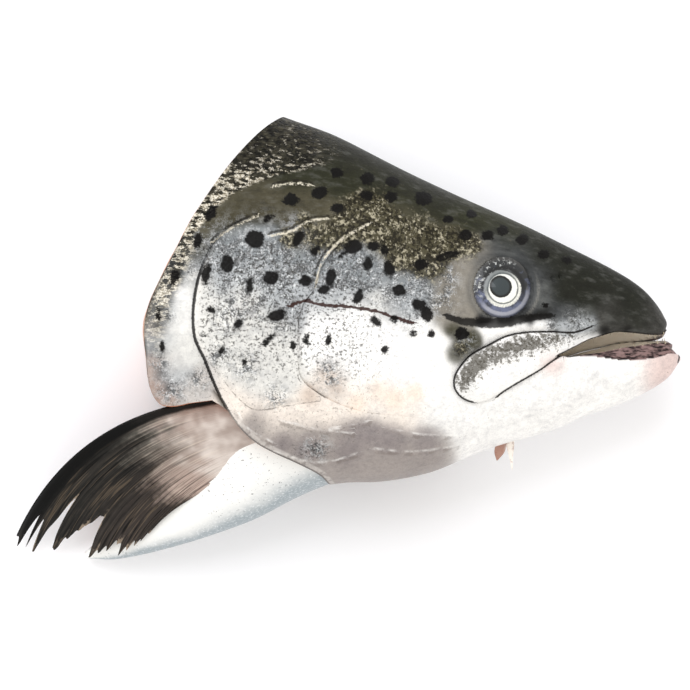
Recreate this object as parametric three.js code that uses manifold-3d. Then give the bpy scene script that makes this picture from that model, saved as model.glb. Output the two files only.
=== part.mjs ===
// A salmon head, cut off behind the shoulder with its collar, lying on its left side.
// Millimetres. +X runs to the snout, +Y to the back, +Z up out of the right cheek. The table is z = 0.
// Every outline is drawn in the side view (X, Y) and cut through one lofted head form, so the pieces fit.
import * as THREE from "three";
import { mergeVertices } from "three/addons/utils/BufferGeometryUtils.js";
import Module from "manifold-3d";

// Driving dimensions
const headLength = 165; // snout to the rear edge of the gill cover
const drawnLength = 165; // the head length that the outlines below are drawn for
const midPlane = 33; // height of the fish's own plane of symmetry above the table
const seam = 0.3; // clearance between neighbouring pieces
const finClearance = 1; // clearance above and below the fins where they lie on the body
const gillCoverStand = 1.2; // how far the gill cover stands proud of the head
const gillCoverDepth = 2.4; // how far it is let into the head
const maxillaStand = 0.7;
const maxillaDepth = 2;
const eye = { x: 54.3, y: 17.2, radius: 11.2, front: 5, back: 9, edgeHeight: 21.8 };
const tag = { x: 54, y: -37.9, length: 8.6, width: 6.4, thickness: 4 };
const belly = { x: -70, y: -16, length: 24, depth: 24, halfWidth: 11 }; // the gutted cavity's front end
const formEnds = { rear: -80, front: 117, crowding: 1.5 }; // the form's stations crowd towards the snout
const skinColour = 0x8f918c;

// Resolution
const stationsAlong = 22;
const pointsAround = 28;
const far = 150; // beyond every edge of the head

const wasm = await Module();
wasm.setup();

// ---- helpers -------------------------------------------------------------------------------

// A smooth function of x through a few [x, value] points.
function through(points) {
  const xs = points.map((p) => p[0]);
  const ys = points.map((p) => p[1]);
  const slope = xs.map((_, i) => {
    const a = Math.max(i - 1, 0);
    const b = Math.min(i + 1, xs.length - 1);
    return (ys[b] - ys[a]) / (xs[b] - xs[a]);
  });
  return (x) => {
    if (x <= xs[0]) return ys[0];
    if (x >= xs[xs.length - 1]) return ys[ys.length - 1];
    let i = 0;
    while (x > xs[i + 1]) i++;
    const width = xs[i + 1] - xs[i];
    const t = (x - xs[i]) / width;
    const s = 1 - t;
    return (
      ys[i] * s * s * (1 + 2 * t) +
      ys[i + 1] * t * t * (3 - 2 * t) +
      width * (slope[i] * s * s * t - slope[i + 1] * t * t * s)
    );
  };
}

// Points of an open smooth curve through [x, y] pairs.
function smooth(pairs, perSpan = 2) {
  const curve = new THREE.SplineCurve(pairs.map(([x, y]) => new THREE.Vector2(x, y)));
  return curve.getPoints(perSpan * (pairs.length - 1));
}

const corner = (x, y) => new THREE.Vector2(x, y);

// The same closed outline, moved outwards by a distance.
function grown(outline, by) {
  const turn = Math.sign(THREE.ShapeUtils.area(outline));
  return outline.map((p, i) => {
    const before = outline[(i + outline.length - 1) % outline.length];
    const after = outline[(i + 1) % outline.length];
    const along = after.clone().sub(before).normalize();
    return new THREE.Vector2(p.x + along.y * by * turn, p.y - along.x * by * turn);
  });
}

function solidOf(geometry) {
  const bare = geometry.clone();
  bare.deleteAttribute("normal");
  bare.deleteAttribute("uv");
  const merged = mergeVertices(bare, 1e-4);
  return new wasm.Manifold(
    new wasm.Mesh({
      numProp: 3,
      vertProperties: new Float32Array(merged.attributes.position.array),
      triVerts: new Uint32Array(merged.index.array),
    }),
  );
}

function geometryOf(solid) {
  const mesh = solid.getMesh();
  const geometry = new THREE.BufferGeometry();
  geometry.setAttribute("position", new THREE.BufferAttribute(mesh.vertProperties, 3));
  geometry.setIndex(new THREE.BufferAttribute(mesh.triVerts, 1));
  geometry.computeVertexNormals();
  return geometry;
}

// An outline in the side view, extruded between two heights.
function prism(outline, low, high) {
  const geometry = new THREE.ExtrudeGeometry(new THREE.Shape(outline), {
    depth: high - low,
    bevelEnabled: false,
    steps: 1,
  });
  geometry.translate(0, 0, low);
  return solidOf(geometry);
}

// A closed solid through rings of points, each ring of the same even length. A strip that joins
// each point to its opposite number closes each end.
function loft(rings) {
  const count = rings[0].length;
  const positions = rings.flat().flatMap((p) => [p.x, p.y, p.z]);
  const index = [];
  for (let r = 0; r + 1 < rings.length; r++)
    for (let i = 0; i < count; i++) {
      const a = r * count + i;
      const b = r * count + ((i + 1) % count);
      index.push(a, b, b + count, a, b + count, a + count);
    }
  for (const [r, first] of [[0, true], [rings.length - 1, false]])
    for (let i = 0; i + 1 < count / 2; i++) {
      const [a, b] = [r * count + i, r * count + i + 1];
      const [c, d] = [r * count + count - 2 - i, r * count + count - 1 - i];
      index.push(...(first ? [a, c, b, a, d, c] : [a, b, c, a, c, d]));
    }
  const geometry = new THREE.BufferGeometry();
  geometry.setAttribute("position", new THREE.Float32BufferAttribute(positions, 3));
  geometry.setIndex(index);
  return solidOf(geometry);
}

// The largest body of a cut solid; slivers at a boolean's edge are dropped.
const largest = (solid) => solid.decompose().sort((a, b) => b.volume() - a.volume())[0];

// ---- the head form -------------------------------------------------------------------------

const topLine = through([
  [-80, 101], [-50, 89.5], [-23, 77.6], [-2, 69.8], [26, 55.8], [54, 43.3], [82, 29.9],
  [96, 22.4], [104, 17], [109, 11.6], [112, 6.5], [114.5, 0], [117, -6],
]);
const bottomLine = through([
  [-80, -62], [-40, -57], [-20, -52.5], [0, -49.6], [12, -49.2], [24, -47.4], [38, -43.6],
  [54, -37.5], [74, -32], [84, -27.6], [97, -22.8], [107, -17.8], [113, -13.6], [117, -8],
]);
const widestLine = through([
  [-80, 16], [-23, 8], [0, 4], [26, 0], [54, 2], [82, -1], [106, -3], [117, -7],
]);
const halfWidth = through([
  [-80, 33], [-50, 34.5], [-23, 35.2], [0, 35], [26, 33.2], [54, 27], [70, 22.4], [82, 18.8],
  [96, 14.8], [106, 11], [112, 8], [115, 5.6], [117, 2],
]);
const depthPower = 2 / 2.1; // superellipse powers of a cross-section, in depth and in width
const widthPower = 2 / 2.25;

function headRing(x, grow) {
  const top = topLine(x) + grow;
  const bottom = bottomLine(x) - grow;
  const widest = widestLine(x);
  const half = Math.max(halfWidth(x) + grow, 0.4);
  return Array.from({ length: pointsAround }, (_, i) => {
    const angle = (2 * Math.PI * i) / pointsAround;
    const c = Math.cos(angle);
    const s = Math.sin(angle);
    const reach = c > 0 ? top - widest : widest - bottom;
    return new THREE.Vector3(
      x,
      widest + reach * Math.sign(c) * Math.abs(c) ** depthPower,
      midPlane + half * Math.sign(s) * Math.abs(s) ** widthPower,
    );
  });
}

// Stations lie closer together towards the snout.
function headForm(grow) {
  const rings = [];
  for (let i = 0; i <= stationsAlong; i++) {
    const t = i / stationsAlong;
    const x = formEnds.rear + (formEnds.front - formEnds.rear) * (1 - (1 - t) ** formEnds.crowding);
    rings.push(headRing(x, grow));
  }
  return loft(rings);
}

const form = headForm(0);
const aboveTable = prism([corner(-far, -far), corner(far, -far), corner(far, far), corner(-far, far)], 0, far);

// ---- outlines in the side view -------------------------------------------------------------

// The knife's line: from the nape down behind the shoulder, then forward above the fin.
const knifeLine = smooth([
  [-21, 92], [-24, 81], [-29.5, 73.8], [-36.9, 65.5], [-43, 57.4], [-49.4, 48.6], [-54.6, 39.6],
  [-58.8, 31], [-64.3, 18.4], [-67.8, 10], [-69.4, 3], [-69.8, -6], [-69.5, -15], [-67.6, -21],
  [-62, -23.4], [-54, -23],
]);
// Under the gill cover the head ends a little inside the cover's edge.
const collarLine = smooth([
  [-46, -22], [-41, -25], [-36, -30.4], [-30, -34.6], [-22, -38.8], [-12, -43.4], [-6, -47], [0, -60],
]);
const cutAway = [
  ...knifeLine, ...collarLine,
  corner(0, -far), corner(-far, -far), corner(-far, far), corner(-21, far),
];

const gillCoverRear = smooth([
  [-27, 38.6], [-34, 41], [-40.6, 37.2], [-46.4, 30.6], [-49.8, 23], [-51.8, 15], [-52.5, 6],
  [-51.6, -1], [-48.6, -7.4], [-46, -14], [-42.4, -22], [-37.6, -29.8], [-32, -35.6],
  [-25.4, -39.6], [-15.6, -44.2], [-8.4, -48.4], [-4, -54],
]);
const gillCoverFront = smooth([
  [42, -52], [44, -42], [40, -33.5], [31, -29], [20, -27.2], [8, -26], [0, -23.8], [-6.5, -21],
  [-12.6, -17], [-16, -12.4], [-16.6, -4], [-16.4, 5], [-14.6, 11.6], [-11.4, 16], [-9.4, 21.4],
  [-6.6, 27], [-1.4, 32.6], [7.6, 37.8],
]);
const gillCoverTop = smooth([[5, 39.4], [-3, 42], [-13, 41], [-20, 38.2], [-25.2, 37.4]]);
const gillCoverOutline = [...gillCoverRear, corner(20, -60), ...gillCoverFront, ...gillCoverTop];

const upperLip = smooth([
  [135, 5], [119, 4.4], [113.4, 3.2], [110, 0.6], [103, 1.5], [96, 2.4], [90, 1.5], [84, -1],
  [78.6, -3.7], [74.6, -5.8],
]);
const lowerLip = smooth([
  [78.6, -6.4], [84, -5.8], [92.6, -4.6], [99.6, -3.7], [106, -2.3], [111, -1.7], [115.4, -3],
  [121, -7], [135, -8],
]);
const mouthGap = [...upperLip, ...lowerLip];

const mouthLine = smooth([
  [74.8, -6.2], [71.6, -8.6], [68.1, -11.4], [62.8, -14.9], [57.6, -17.3], [52.6, -21], [48, -27],
  [46.4, -34], [47, -42], [48, -70],
]);
const jawOutline = [...mouthLine, corner(far, -70), corner(far, -6), corner(78.6, -6.2)];

const maxillaOutline = smooth(
  [
    [85.4, 3.8], [79, 2.6], [70, 2.4], [61.4, 2], [54.6, 0.4], [48.6, -2.6], [43.4, -6.8],
    [39, -11.6], [37.4, -15.8], [39, -19.8], [43.4, -22.2], [48.4, -21.8], [52.6, -19.8],
    [57.6, -16.4], [62.8, -14], [68.1, -10.5], [72.4, -6.9], [78.4, -3], [83.6, 0.2], [86.4, 2.4],
    [85.4, 3.8],
  ],
  2,
).slice(1);

// ---- pieces --------------------------------------------------------------------------------

// A plate let into the head form on one side of the fish; side is 1 for right, -1 for left.
function plate(outline, side, stand, depth, extra = 0) {
  const low = side > 0 ? midPlane + 0.2 - extra : -far;
  const high = side > 0 ? far : midPlane - 0.2 + extra;
  return headForm(stand + extra)
    .intersect(prism(grown(outline, extra), low, high))
    .subtract(headForm(-depth - extra));
}

// The eyeball: a shallow front dome and a deeper back, turned about the fish's left-right axis.
function eyeball(side, grow = 0) {
  const profile = [];
  const steps = 6;
  for (let i = 0; i <= 2 * steps; i++) {
    const a = (Math.PI * i) / (2 * steps);
    const reach = (i < steps ? eye.back : eye.front) + grow;
    profile.push(new THREE.Vector2((eye.radius + grow) * Math.sin(a), -reach * Math.cos(a)));
  }
  profile[0].x = 0;
  profile[2 * steps].x = 0;
  const geometry = new THREE.LatheGeometry(profile, 24);
  geometry.rotateX((side * Math.PI) / 2);
  geometry.translate(eye.x, eye.y, midPlane + side * eye.edgeHeight);
  return solidOf(geometry);
}

const finDetail = { rays: 20, steps: 8, edgeShare: 0.35, edgeRise: 3, behindBase: -0.05 };

// A pectoral fin: rays fan out from a fleshy base. Each ray is a quadratic curve.
function fin({ base, bend, tips, notches, thick }, grow = 0) {
  const { rays, steps } = finDetail;
  const first = grow > 0 ? -1 : 0; // a grown fin also starts a little behind the base
  const spread = (list, u) => {
    const curve = new THREE.CatmullRomCurve3(list.map((p) => new THREE.Vector3(...p)));
    return curve.getPoint(u);
  };
  const point = (u, v) => {
    let reach = 1;
    for (const n of notches) reach = Math.min(reach, 1 - n.depth * Math.max(0, 1 - Math.abs(u - n.at) / n.half));
    const t = v * reach;
    const [a, b, c] = [spread(base, u), spread(bend, u), spread(tips, u)];
    const s = 1 - t;
    return new THREE.Vector3(
      s * s * a.x + 2 * s * t * b.x + t * t * c.x,
      s * s * a.y + 2 * s * t * b.y + t * t * c.y,
      s * s * a.z + 2 * s * t * b.z + t * t * c.z,
    );
  };
  const rings = [];
  for (let j = first; j <= steps; j++) {
    const v = Math.max(j / steps, finDetail.behindBase);
    const half = (thick.base * (1 - v) ** 2.4 + thick.tip) / 2 + grow;
    const upper = [];
    const lower = [];
    for (let i = 0; i <= rays; i++) {
      const u = i / rays;
      const p = point(u, v);
      const inwards = i === 0 ? 1 : i === rays ? -1 : 0;
      if (inwards) p.addScaledVector(p.clone().sub(point(u + inwards / rays, v)).normalize(), grow);
      // thinner towards both edges
      const rim = Math.min(1, finDetail.edgeShare + finDetail.edgeRise * Math.min(u, 1 - u));
      upper.push(new THREE.Vector3(p.x, p.y, p.z + half * rim));
      lower.unshift(new THREE.Vector3(p.x, p.y, p.z - half * rim));
    }
    rings.push([...upper, ...lower]);
  }
  return loft(rings.reverse());
}

const rightFinShape = {
  base: [[-45.4, -22, 54], [-44.5, -33, 53], [-43, -44.5, 46]],
  bend: [[-92, -26, 46], [-80, -40, 42], [-66, -52, 40], [-54, -52, 42]],
  tips: [
    [-117.4, -73.6, 5], [-110, -75.6, 5], [-103, -76, 6], [-90.7, -76.4, 12], [-79.6, -75, 19],
    [-70.2, -69.5, 27], [-62.8, -61.4, 34],
  ],
  notches: [
    { at: 0.24, depth: 0.24, half: 0.07 },
    { at: 0.43, depth: 0.24, half: 0.09 },
  ],
  thick: { base: 7, tip: 1.1 },
};
const leftFinShape = {
  base: [[-45.4, -26, 12], [-44.5, -34, 11], [-43, -42, 11]],
  bend: [[-66, -32, 2], [-62, -42, 2], [-58, -50, 2]],
  tips: [[-92, -60, 2.2], [-87, -66, 2.2], [-79, -67.5, 2.2], [-69, -62, 2.2]],
  notches: [{ at: 0.5, depth: 0.12, half: 0.12 }],
  thick: { base: 5, tip: 1.1 },
};

// The belly flap: a trough of belly wall, folded along the fish's midline and running out to a point.
// keel is the folded edge, rim the cut edges, low and high the heights of its two walls.
const flapStations = [
  { keel: [-2, -50], rim: [-34, -18], low: 8, high: 57, wall: 13 },
  { keel: [-17, -56.2], rim: [-48, -26], low: 6.5, high: 52, wall: 12.5 },
  { keel: [-34, -64.8], rim: [-53, -36], low: 5.4, high: 44, wall: 11 },
  { keel: [-50, -71], rim: [-60, -47], low: 4.8, high: 35.5, wall: 8.5 },
  { keel: [-66, -75.2], rim: [-70, -58], low: 4.2, high: 26, wall: 6 },
  { keel: [-80, -77.6], rim: [-82, -68.6], low: 3.8, high: 15.5, wall: 3 },
  { keel: [-91.8, -78.6], rim: [-92.4, -76.4], low: 3.4, high: 6, wall: 0.8 },
];

function flap() {
  const along = flapStations.length - 1;
  const line = (read) => through(flapStations.map((s, i) => [i, read(s)]));
  const keelX = line((s) => s.keel[0]);
  const keelY = line((s) => s.keel[1]);
  const rimX = line((s) => s.rim[0]);
  const rimY = line((s) => s.rim[1]);
  const low = line((s) => s.low);
  const high = line((s) => s.high);
  const wall = line((s) => s.wall);
  const arc = 11;
  const rings = [];
  for (let t = 0; t <= along; t += 0.5) {
    const keel = new THREE.Vector2(keelX(t), keelY(t));
    const rim = new THREE.Vector2(rimX(t), rimY(t));
    const up = rim.clone().sub(keel);
    const depth = up.length();
    const middle = (low(t) + high(t)) / 2;
    const half = (high(t) - low(t)) / 2;
    const side = (inset, phi) => {
      const rise = inset + (depth - inset) * (1 - Math.sin(phi) ** 0.8);
      const at = keel.clone().addScaledVector(up, rise / depth);
      return new THREE.Vector3(at.x, at.y, middle + (half - inset) * Math.cos(phi));
    };
    const outer = Array.from({ length: arc }, (_, i) => side(0, (Math.PI * i) / (arc - 1)));
    const inner = Array.from({ length: arc }, (_, i) => side(wall(t), (Math.PI * i) / (arc - 1)));
    rings.push([...outer, ...inner.reverse()]);
  }
  return loft(rings.reverse());
}

// The tag of torn flesh at the front of the throat.
function throatTag() {
  const outline = smooth([
    [tag.x - tag.width / 2, tag.y], [tag.x - tag.width / 2 + 0.6, tag.y - tag.length * 0.7],
    [tag.x - 0.6, tag.y - tag.length * 0.5], [tag.x + 0.5, tag.y - tag.length],
    [tag.x + 1.8, tag.y - tag.length * 0.5], [tag.x + tag.width / 2, tag.y + 0.6],
  ]);
  return prism(outline, midPlane - tag.thickness / 2, midPlane + tag.thickness / 2);
}

// The front end of the gutted belly cavity, open at the knife cut and towards the flap.
function cavity() {
  const geometry = new THREE.SphereGeometry(1, 20, 14);
  geometry.scale(belly.length, belly.depth, belly.halfWidth);
  geometry.translate(belly.x, belly.y, midPlane);
  return solidOf(geometry);
}

const rightFin = fin(rightFinShape);
const leftFin = fin(leftFinShape);
const finRoom = fin(rightFinShape, finClearance).add(fin(leftFinShape, finClearance));

const plates = {};
let plateRoom = null;
for (const [name, side] of [["right", 1], ["left", -1]]) {
  const cover = plate(gillCoverOutline, side, gillCoverStand, gillCoverDepth);
  const maxilla = plate(maxillaOutline, side, maxillaStand, maxillaDepth);
  plates[name + "_gill_cover"] = cover;
  plates[name + "_maxilla"] = maxilla;
  const room = plate(gillCoverOutline, side, gillCoverStand, gillCoverDepth, seam)
    .add(plate(maxillaOutline, side, maxillaStand, maxillaDepth, seam));
  plateRoom = plateRoom ? plateRoom.add(room) : room;
}
const eyeRoom = eyeball(1, seam).add(eyeball(-1, seam));
const gap = prism(mouthGap, -far, far);
const jawRegion = prism(jawOutline, -far, far);
const jawRoom = prism(grown(jawOutline, seam), -far, far);
const bodyRegion = prism(cutAway, -far, far);
const bodyRoom = form.subtract(prism(grown(cutAway, -seam), -far, far));

const solids = {
  head: form.subtract(bodyRegion).subtract(jawRoom).subtract(gap).subtract(plateRoom)
    .subtract(eyeRoom).subtract(cavity()).subtract(finRoom),
  lower_jaw: form.intersect(jawRegion).subtract(gap).subtract(plateRoom),
  ...plates,
  right_eye: eyeball(1),
  left_eye: eyeball(-1),
  right_pectoral_fin: rightFin,
  left_pectoral_fin: leftFin,
  belly_flap: flap().subtract(bodyRoom).subtract(plateRoom).subtract(finRoom),
  throat_tag: throatTag().subtract(headForm(seam)),
};

const colours = {
  right_eye: 0xd8d8d0, left_eye: 0xd8d8d0,
  right_pectoral_fin: 0x4a443e, left_pectoral_fin: 0x4a443e,
  belly_flap: 0xe6e6e2, lower_jaw: 0xecebe6, throat_tag: 0xe2c4b8,
  right_gill_cover: 0xc9cbc7, left_gill_cover: 0xc9cbc7,
};

const salmonHead = new THREE.Group();
salmonHead.name = "salmon_head";
for (const [name, solid] of Object.entries(solids)) {
  const whole = largest(solid.intersect(aboveTable));
  const material = new THREE.MeshStandardMaterial({
    color: colours[name] ?? skinColour,
    roughness: 0.35,
    metalness: 0,
  });
  const mesh = new THREE.Mesh(geometryOf(whole), material);
  mesh.name = name;
  mesh.scale.setScalar(headLength / drawnLength);
  salmonHead.add(mesh);
}

export default salmonHead;
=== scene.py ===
import math

import bpy
import numpy as np
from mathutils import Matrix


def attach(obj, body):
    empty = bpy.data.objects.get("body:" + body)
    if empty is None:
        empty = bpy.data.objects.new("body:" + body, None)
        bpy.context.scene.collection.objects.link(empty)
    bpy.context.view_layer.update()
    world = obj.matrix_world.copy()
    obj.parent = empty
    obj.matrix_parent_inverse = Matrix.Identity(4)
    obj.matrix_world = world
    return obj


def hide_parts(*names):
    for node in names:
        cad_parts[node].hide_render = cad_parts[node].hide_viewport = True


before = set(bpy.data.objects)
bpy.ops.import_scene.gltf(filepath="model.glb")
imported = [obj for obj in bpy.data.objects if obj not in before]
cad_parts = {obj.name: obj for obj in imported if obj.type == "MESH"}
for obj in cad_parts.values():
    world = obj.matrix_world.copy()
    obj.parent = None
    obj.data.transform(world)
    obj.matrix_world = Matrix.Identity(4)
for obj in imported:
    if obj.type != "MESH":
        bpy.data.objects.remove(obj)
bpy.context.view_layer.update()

mm = 0.001  # every shape below is worked out in millimetres
midPlane = 33  # height of the fish's own plane of symmetry


# curves, outlines and distances

def through(*points):  # a smooth function of x through a few (x, value) points
    xs, ys = np.array(points, float).T
    slopes = np.gradient(ys, xs)
    slopes[1:-1] = (ys[2:] - ys[:-2]) / (xs[2:] - xs[:-2])

    def value(x):
        x = np.clip(x, xs[0], xs[-1])
        i = np.clip(np.searchsorted(xs, x) - 1, 0, len(xs) - 2)
        width = xs[i + 1] - xs[i]
        t = (x - xs[i]) / width
        s = 1 - t
        bent = width * (slopes[i] * s * s * t - slopes[i + 1] * t * t * s)
        return ys[i] * s * s * (1 + 2 * t) + ys[i + 1] * t * t * (3 - 2 * t) + bent
    return value


def smooth(*points, perSpan=6):  # a curve through points, as an array of closer points
    p = np.array(points, float)
    p = np.vstack([2 * p[0] - p[1], p, 2 * p[-1] - p[-2]])
    t = np.linspace(0, 1, perSpan, endpoint=False)[:, None]
    spans = []
    for a, b, c, d in zip(p, p[1:], p[2:], p[3:]):
        spans.append(0.5 * (2 * b + (c - a) * t + (2 * a - 5 * b + 4 * c - d) * t**2
                            + (3 * b - a - 3 * c + d) * t**3))
    return np.vstack(spans + [p[-2:-1]])


def evenly(line, step):  # the same curve with points a step apart
    lengths = np.hypot(*np.diff(line, axis=0).T)
    along = np.concatenate([[0], np.cumsum(lengths)])
    places = np.linspace(0, along[-1], max(2, int(along[-1] / step) + 1))
    return np.column_stack([np.interp(places, along, line[:, k]) for k in range(line.shape[1])])


def lineSide(line, x, y, reach=9):  # distance to a line up to reach, below zero on its right-hand side
    nearest = np.full(x.shape, float(reach))
    low, high = line.min(0) - reach, line.max(0) + reach
    near = (x > low[0]) & (x < high[0]) & (y > low[1]) & (y < high[1])
    px, py, best = x[near], y[near], nearest[near]
    for (ax, ay), (bx, by) in zip(line, line[1:]):
        dx, dy = bx - ax, by - ay
        t = np.clip(((px - ax) * dx + (py - ay) * dy) / max(dx * dx + dy * dy, 1e-9), 0, 1)
        distance = np.hypot(px - ax - t * dx, py - ay - t * dy)
        side = np.where(dx * (py - ay) - dy * (px - ax) < 0, -1, 1)
        best = np.where(distance < np.abs(best), distance * side, best)
    nearest[near] = best
    return nearest


def lineDistance(line, x, y, reach=30):
    return np.abs(lineSide(line, x, y, reach))


def nearestLine(lines, x, y, reach=9):  # the line of several that lies nearest, with its side
    nearest = np.full(x.shape, float(reach))
    for line in lines:
        distance = lineSide(line, x, y, reach)
        nearest = np.where(np.abs(distance) < np.abs(nearest), distance, nearest)
    return nearest


def insideOf(outline, x, y):
    inside = np.zeros(x.shape, bool)
    for (ax, ay), (bx, by) in zip(outline, np.roll(outline, -1, 0)):
        if ay != by:
            inside ^= ((ay > y) != (by > y)) & (x < (bx - ax) * (y - ay) / (by - ay) + ax)
    return inside


def depthIn(outline, x, y, reach=30):  # distance to the outline, positive inside it
    closed = np.vstack([outline, outline[:1]])
    distance = lineDistance(closed, x, y, reach)
    return np.where(insideOf(outline, x, y), distance, -distance)


def ease(value, start, end):  # 0 before start, 1 after end, smooth between
    t = np.clip((value - start) / (end - start), 0, 1)
    return t * t * (3 - 2 * t)


def bellCurve(distance, width):
    return np.exp(-(distance / width) ** 2)


def power(value, exponent):
    return np.sign(value) * np.abs(value) ** exponent


# the head form that every skin piece is cut from

topLine = through((-80, 101), (-50, 89.5), (-23, 77.6), (-2, 69.8), (26, 55.8), (54, 43.3), (82, 29.9),
                  (96, 22.4), (104, 17), (109, 11.6), (112, 6.5), (114.5, 0), (117, -6))
bottomLine = through((-80, -62), (-40, -57), (-20, -52.5), (0, -49.6), (12, -49.2), (24, -47.4),
                     (38, -43.6), (54, -37.5), (74, -32), (84, -27.6), (97, -22.8), (107, -17.8),
                     (113, -13.6), (117, -8))
widestLine = through((-80, 16), (-23, 8), (0, 4), (26, 0), (54, 2), (82, -1), (106, -3), (117, -7))
halfWidth = through((-80, 33), (-50, 34.5), (-23, 35.2), (0, 35), (26, 33.2), (54, 27), (70, 22.4),
                    (82, 18.8), (96, 14.8), (106, 11), (112, 8), (115, 5.6), (117, 2))
form = {"depthPower": 2.1, "widthPower": 2.25, "rear": -80, "front": 117, "coverStand": 1.2}


def reachFrom(x, upward):  # from the widest line to the back or the belly
    return np.where(upward, topLine(x) - widestLine(x), widestLine(x) - bottomLine(x))


def formPoint(x, angle):  # angle 0 is the back, pi the belly, and between them the right side
    c, s = np.cos(angle), np.sin(angle)
    y = widestLine(x) + reachFrom(x, c > 0) * power(c, 2 / form["depthPower"])
    z = midPlane + halfWidth(x) * power(s, 2 / form["widthPower"])
    return np.stack([x, y, z], -1)


def halfAt(x, y):  # half the fish's thickness at a place in the side view
    widest = widestLine(x)
    share = np.clip(np.abs(y - widest) / np.maximum(reachFrom(x, y > widest), 0.1), 0, 1)
    return halfWidth(x) * (1 - share ** form["depthPower"]) ** (1 / form["widthPower"])


def settled(p):  # the lower cheek flattens where it carries the head on the table
    x, y, z = p[..., 0], p[..., 1], p[..., 2]
    low = midPlane - halfAt(x, y) - form["coverStand"]
    flat = 0.5 * (low + np.sqrt(low * low + 1.5))
    share = np.clip((midPlane - z) / np.maximum(midPlane - low, 1), 0, 1.05)
    z = np.where(z < midPlane, z + (flat - low) * share, z)
    return np.stack([x, y, np.maximum(z, 0.05)], -1)


# making and cutting meshes

def surface(name, columns, rows, place, relief=None, marks=None):
    # a grid primitive whose points are moved to place(u, v), closed where its edges meet
    bpy.ops.object.select_all(action="DESELECT")
    bpy.ops.mesh.primitive_grid_add(x_subdivisions=columns, y_subdivisions=rows, size=1)
    piece = bpy.context.object
    piece.name = piece.data.name = name
    flat = pointsOf(piece) * mm
    column = np.rint((flat[:, 0] + 0.5) * columns).astype(int)
    row = np.rint((flat[:, 1] + 0.5) * rows).astype(int)
    u, v = np.meshgrid(np.arange(columns + 1) / columns, np.arange(rows + 1) / rows)
    p = place(u, v)
    if relief is not None:
        p = p + outwards(p) * relief(p[..., 0], p[..., 1])[..., None]
    piece.data.vertices.foreach_set("co", (p[row, column] * mm).ravel())
    for label, values in (marks(u, v) if marks else {}).items():
        mark(piece, label, values[row, column])
    bpy.ops.object.mode_set(mode="EDIT")
    bpy.ops.mesh.select_all(action="SELECT")
    bpy.ops.mesh.remove_doubles(threshold=2e-6)
    bpy.ops.mesh.select_all(action="DESELECT")
    bpy.ops.mesh.select_non_manifold()
    bpy.ops.mesh.edge_face_add()
    bpy.ops.mesh.select_all(action="SELECT")
    bpy.ops.mesh.normals_make_consistent(inside=False)
    bpy.ops.object.mode_set(mode="OBJECT")
    facingOut(piece)
    return piece


def mark(piece, label, values):  # a number on each point, for the materials to read
    piece.data.attributes.new(label, "FLOAT", "POINT")
    piece.data.attributes[label].data.foreach_set("value", np.ascontiguousarray(values, dtype=np.float32))


def outwards(p):  # unit normals of a grid of points, away from the fish's middle
    n = np.cross(np.gradient(p, axis=1), np.gradient(p, axis=0))
    n /= np.maximum(np.linalg.norm(n, axis=-1, keepdims=True), 1e-9)
    middle = np.stack([p[..., 0] - 5, widestLine(p[..., 0]), np.full(p.shape[:-1], midPlane)], -1)
    return n * np.where(np.sum(n * (p - middle), -1) < 0, -1, 1)[..., None]


def slab(name, outline, low=-20, high=90, rows=1, shift=None):
    # a solid with an outline in the side view, between two heights: right through the head unless told
    count = len(outline)

    def place(u, v):
        at = np.rint(u * count).astype(int) % count
        z = low + (high - low) * v
        xy = outline[at]
        if shift is not None:
            xy = xy + shift(at, xy, z)
        return np.stack([xy[..., 0], xy[..., 1], z], -1)
    return surface(name, count, rows, place)


def carve(piece, cutter, operation="DIFFERENCE"):
    modifier = piece.modifiers.new("cut", "BOOLEAN")
    modifier.operation = operation
    modifier.solver = "MANIFOLD"
    modifier.object = cutter
    bpy.context.view_layer.objects.active = piece
    bpy.ops.object.modifier_apply(modifier="cut")
    bpy.data.objects.remove(cutter)


def facingOut(piece):  # a closed mesh with a negative volume is inside out
    mesh = piece.data
    mesh.calc_loop_triangles()
    corners = np.empty(len(mesh.loop_triangles) * 3, dtype=np.int32)
    mesh.loop_triangles.foreach_get("vertices", corners)
    a, b, c = pointsOf(piece)[corners.reshape(-1, 3)].transpose(1, 0, 2)
    if np.sum(a * np.cross(b, c)) < 0:
        mesh.flip_normals()


def copyOf(piece, name):
    twin = piece.copy()
    twin.data = piece.data.copy()
    twin.name = twin.data.name = name
    bpy.context.collection.objects.link(twin)
    return twin


def pointsOf(piece):
    flat = np.empty(len(piece.data.vertices) * 3)
    piece.data.vertices.foreach_get("co", flat)
    return flat.reshape(-1, 3) / mm


def movePoints(piece, p):
    piece.data.vertices.foreach_set("co", (p * mm).ravel())
    piece.data.update()


def mirrored(piece, name):  # the same piece on the fish's left side
    twin = copyOf(piece, name)
    p = pointsOf(twin)
    p[:, 2] = 2 * midPlane - p[:, 2]
    movePoints(twin, p)
    twin.data.flip_normals()
    return twin


# outlines in the side view

knifeLine = smooth((-6, 96), (-12, 84), (-17.4, 78.3), (-22.2, 76.9), (-28.8, 72.2), (-36.2, 64.6),
                   (-42.6, 56.6), (-48.8, 47.6), (-54, 39.2), (-58, 31), (-62.6, 20), (-66, 10),
                   (-67.6, 3), (-68, -6), (-67.8, -15), (-66.2, -20.4), (-63.4, -23.2), (-59, -23.6),
                   (-54, -22.6))
collarLine = smooth((-46, -21.6), (-41, -25), (-36, -30.4), (-30, -34.6), (-22, -38.8), (-12, -43.4),
                    (-6, -47), (0, -66))
coverRear = smooth((-27, 38.6), (-34, 40.6), (-40.6, 37.2), (-46.4, 30.6), (-49.8, 23), (-51.8, 15),
                   (-52.5, 6), (-51.6, -1), (-48.6, -7.4), (-46, -14), (-42.4, -22), (-37.6, -29.8),
                   (-32, -35.6), (-25.4, -39.6), (-15.6, -44.2), (-8.4, -48.4), (-4, -54))
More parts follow.
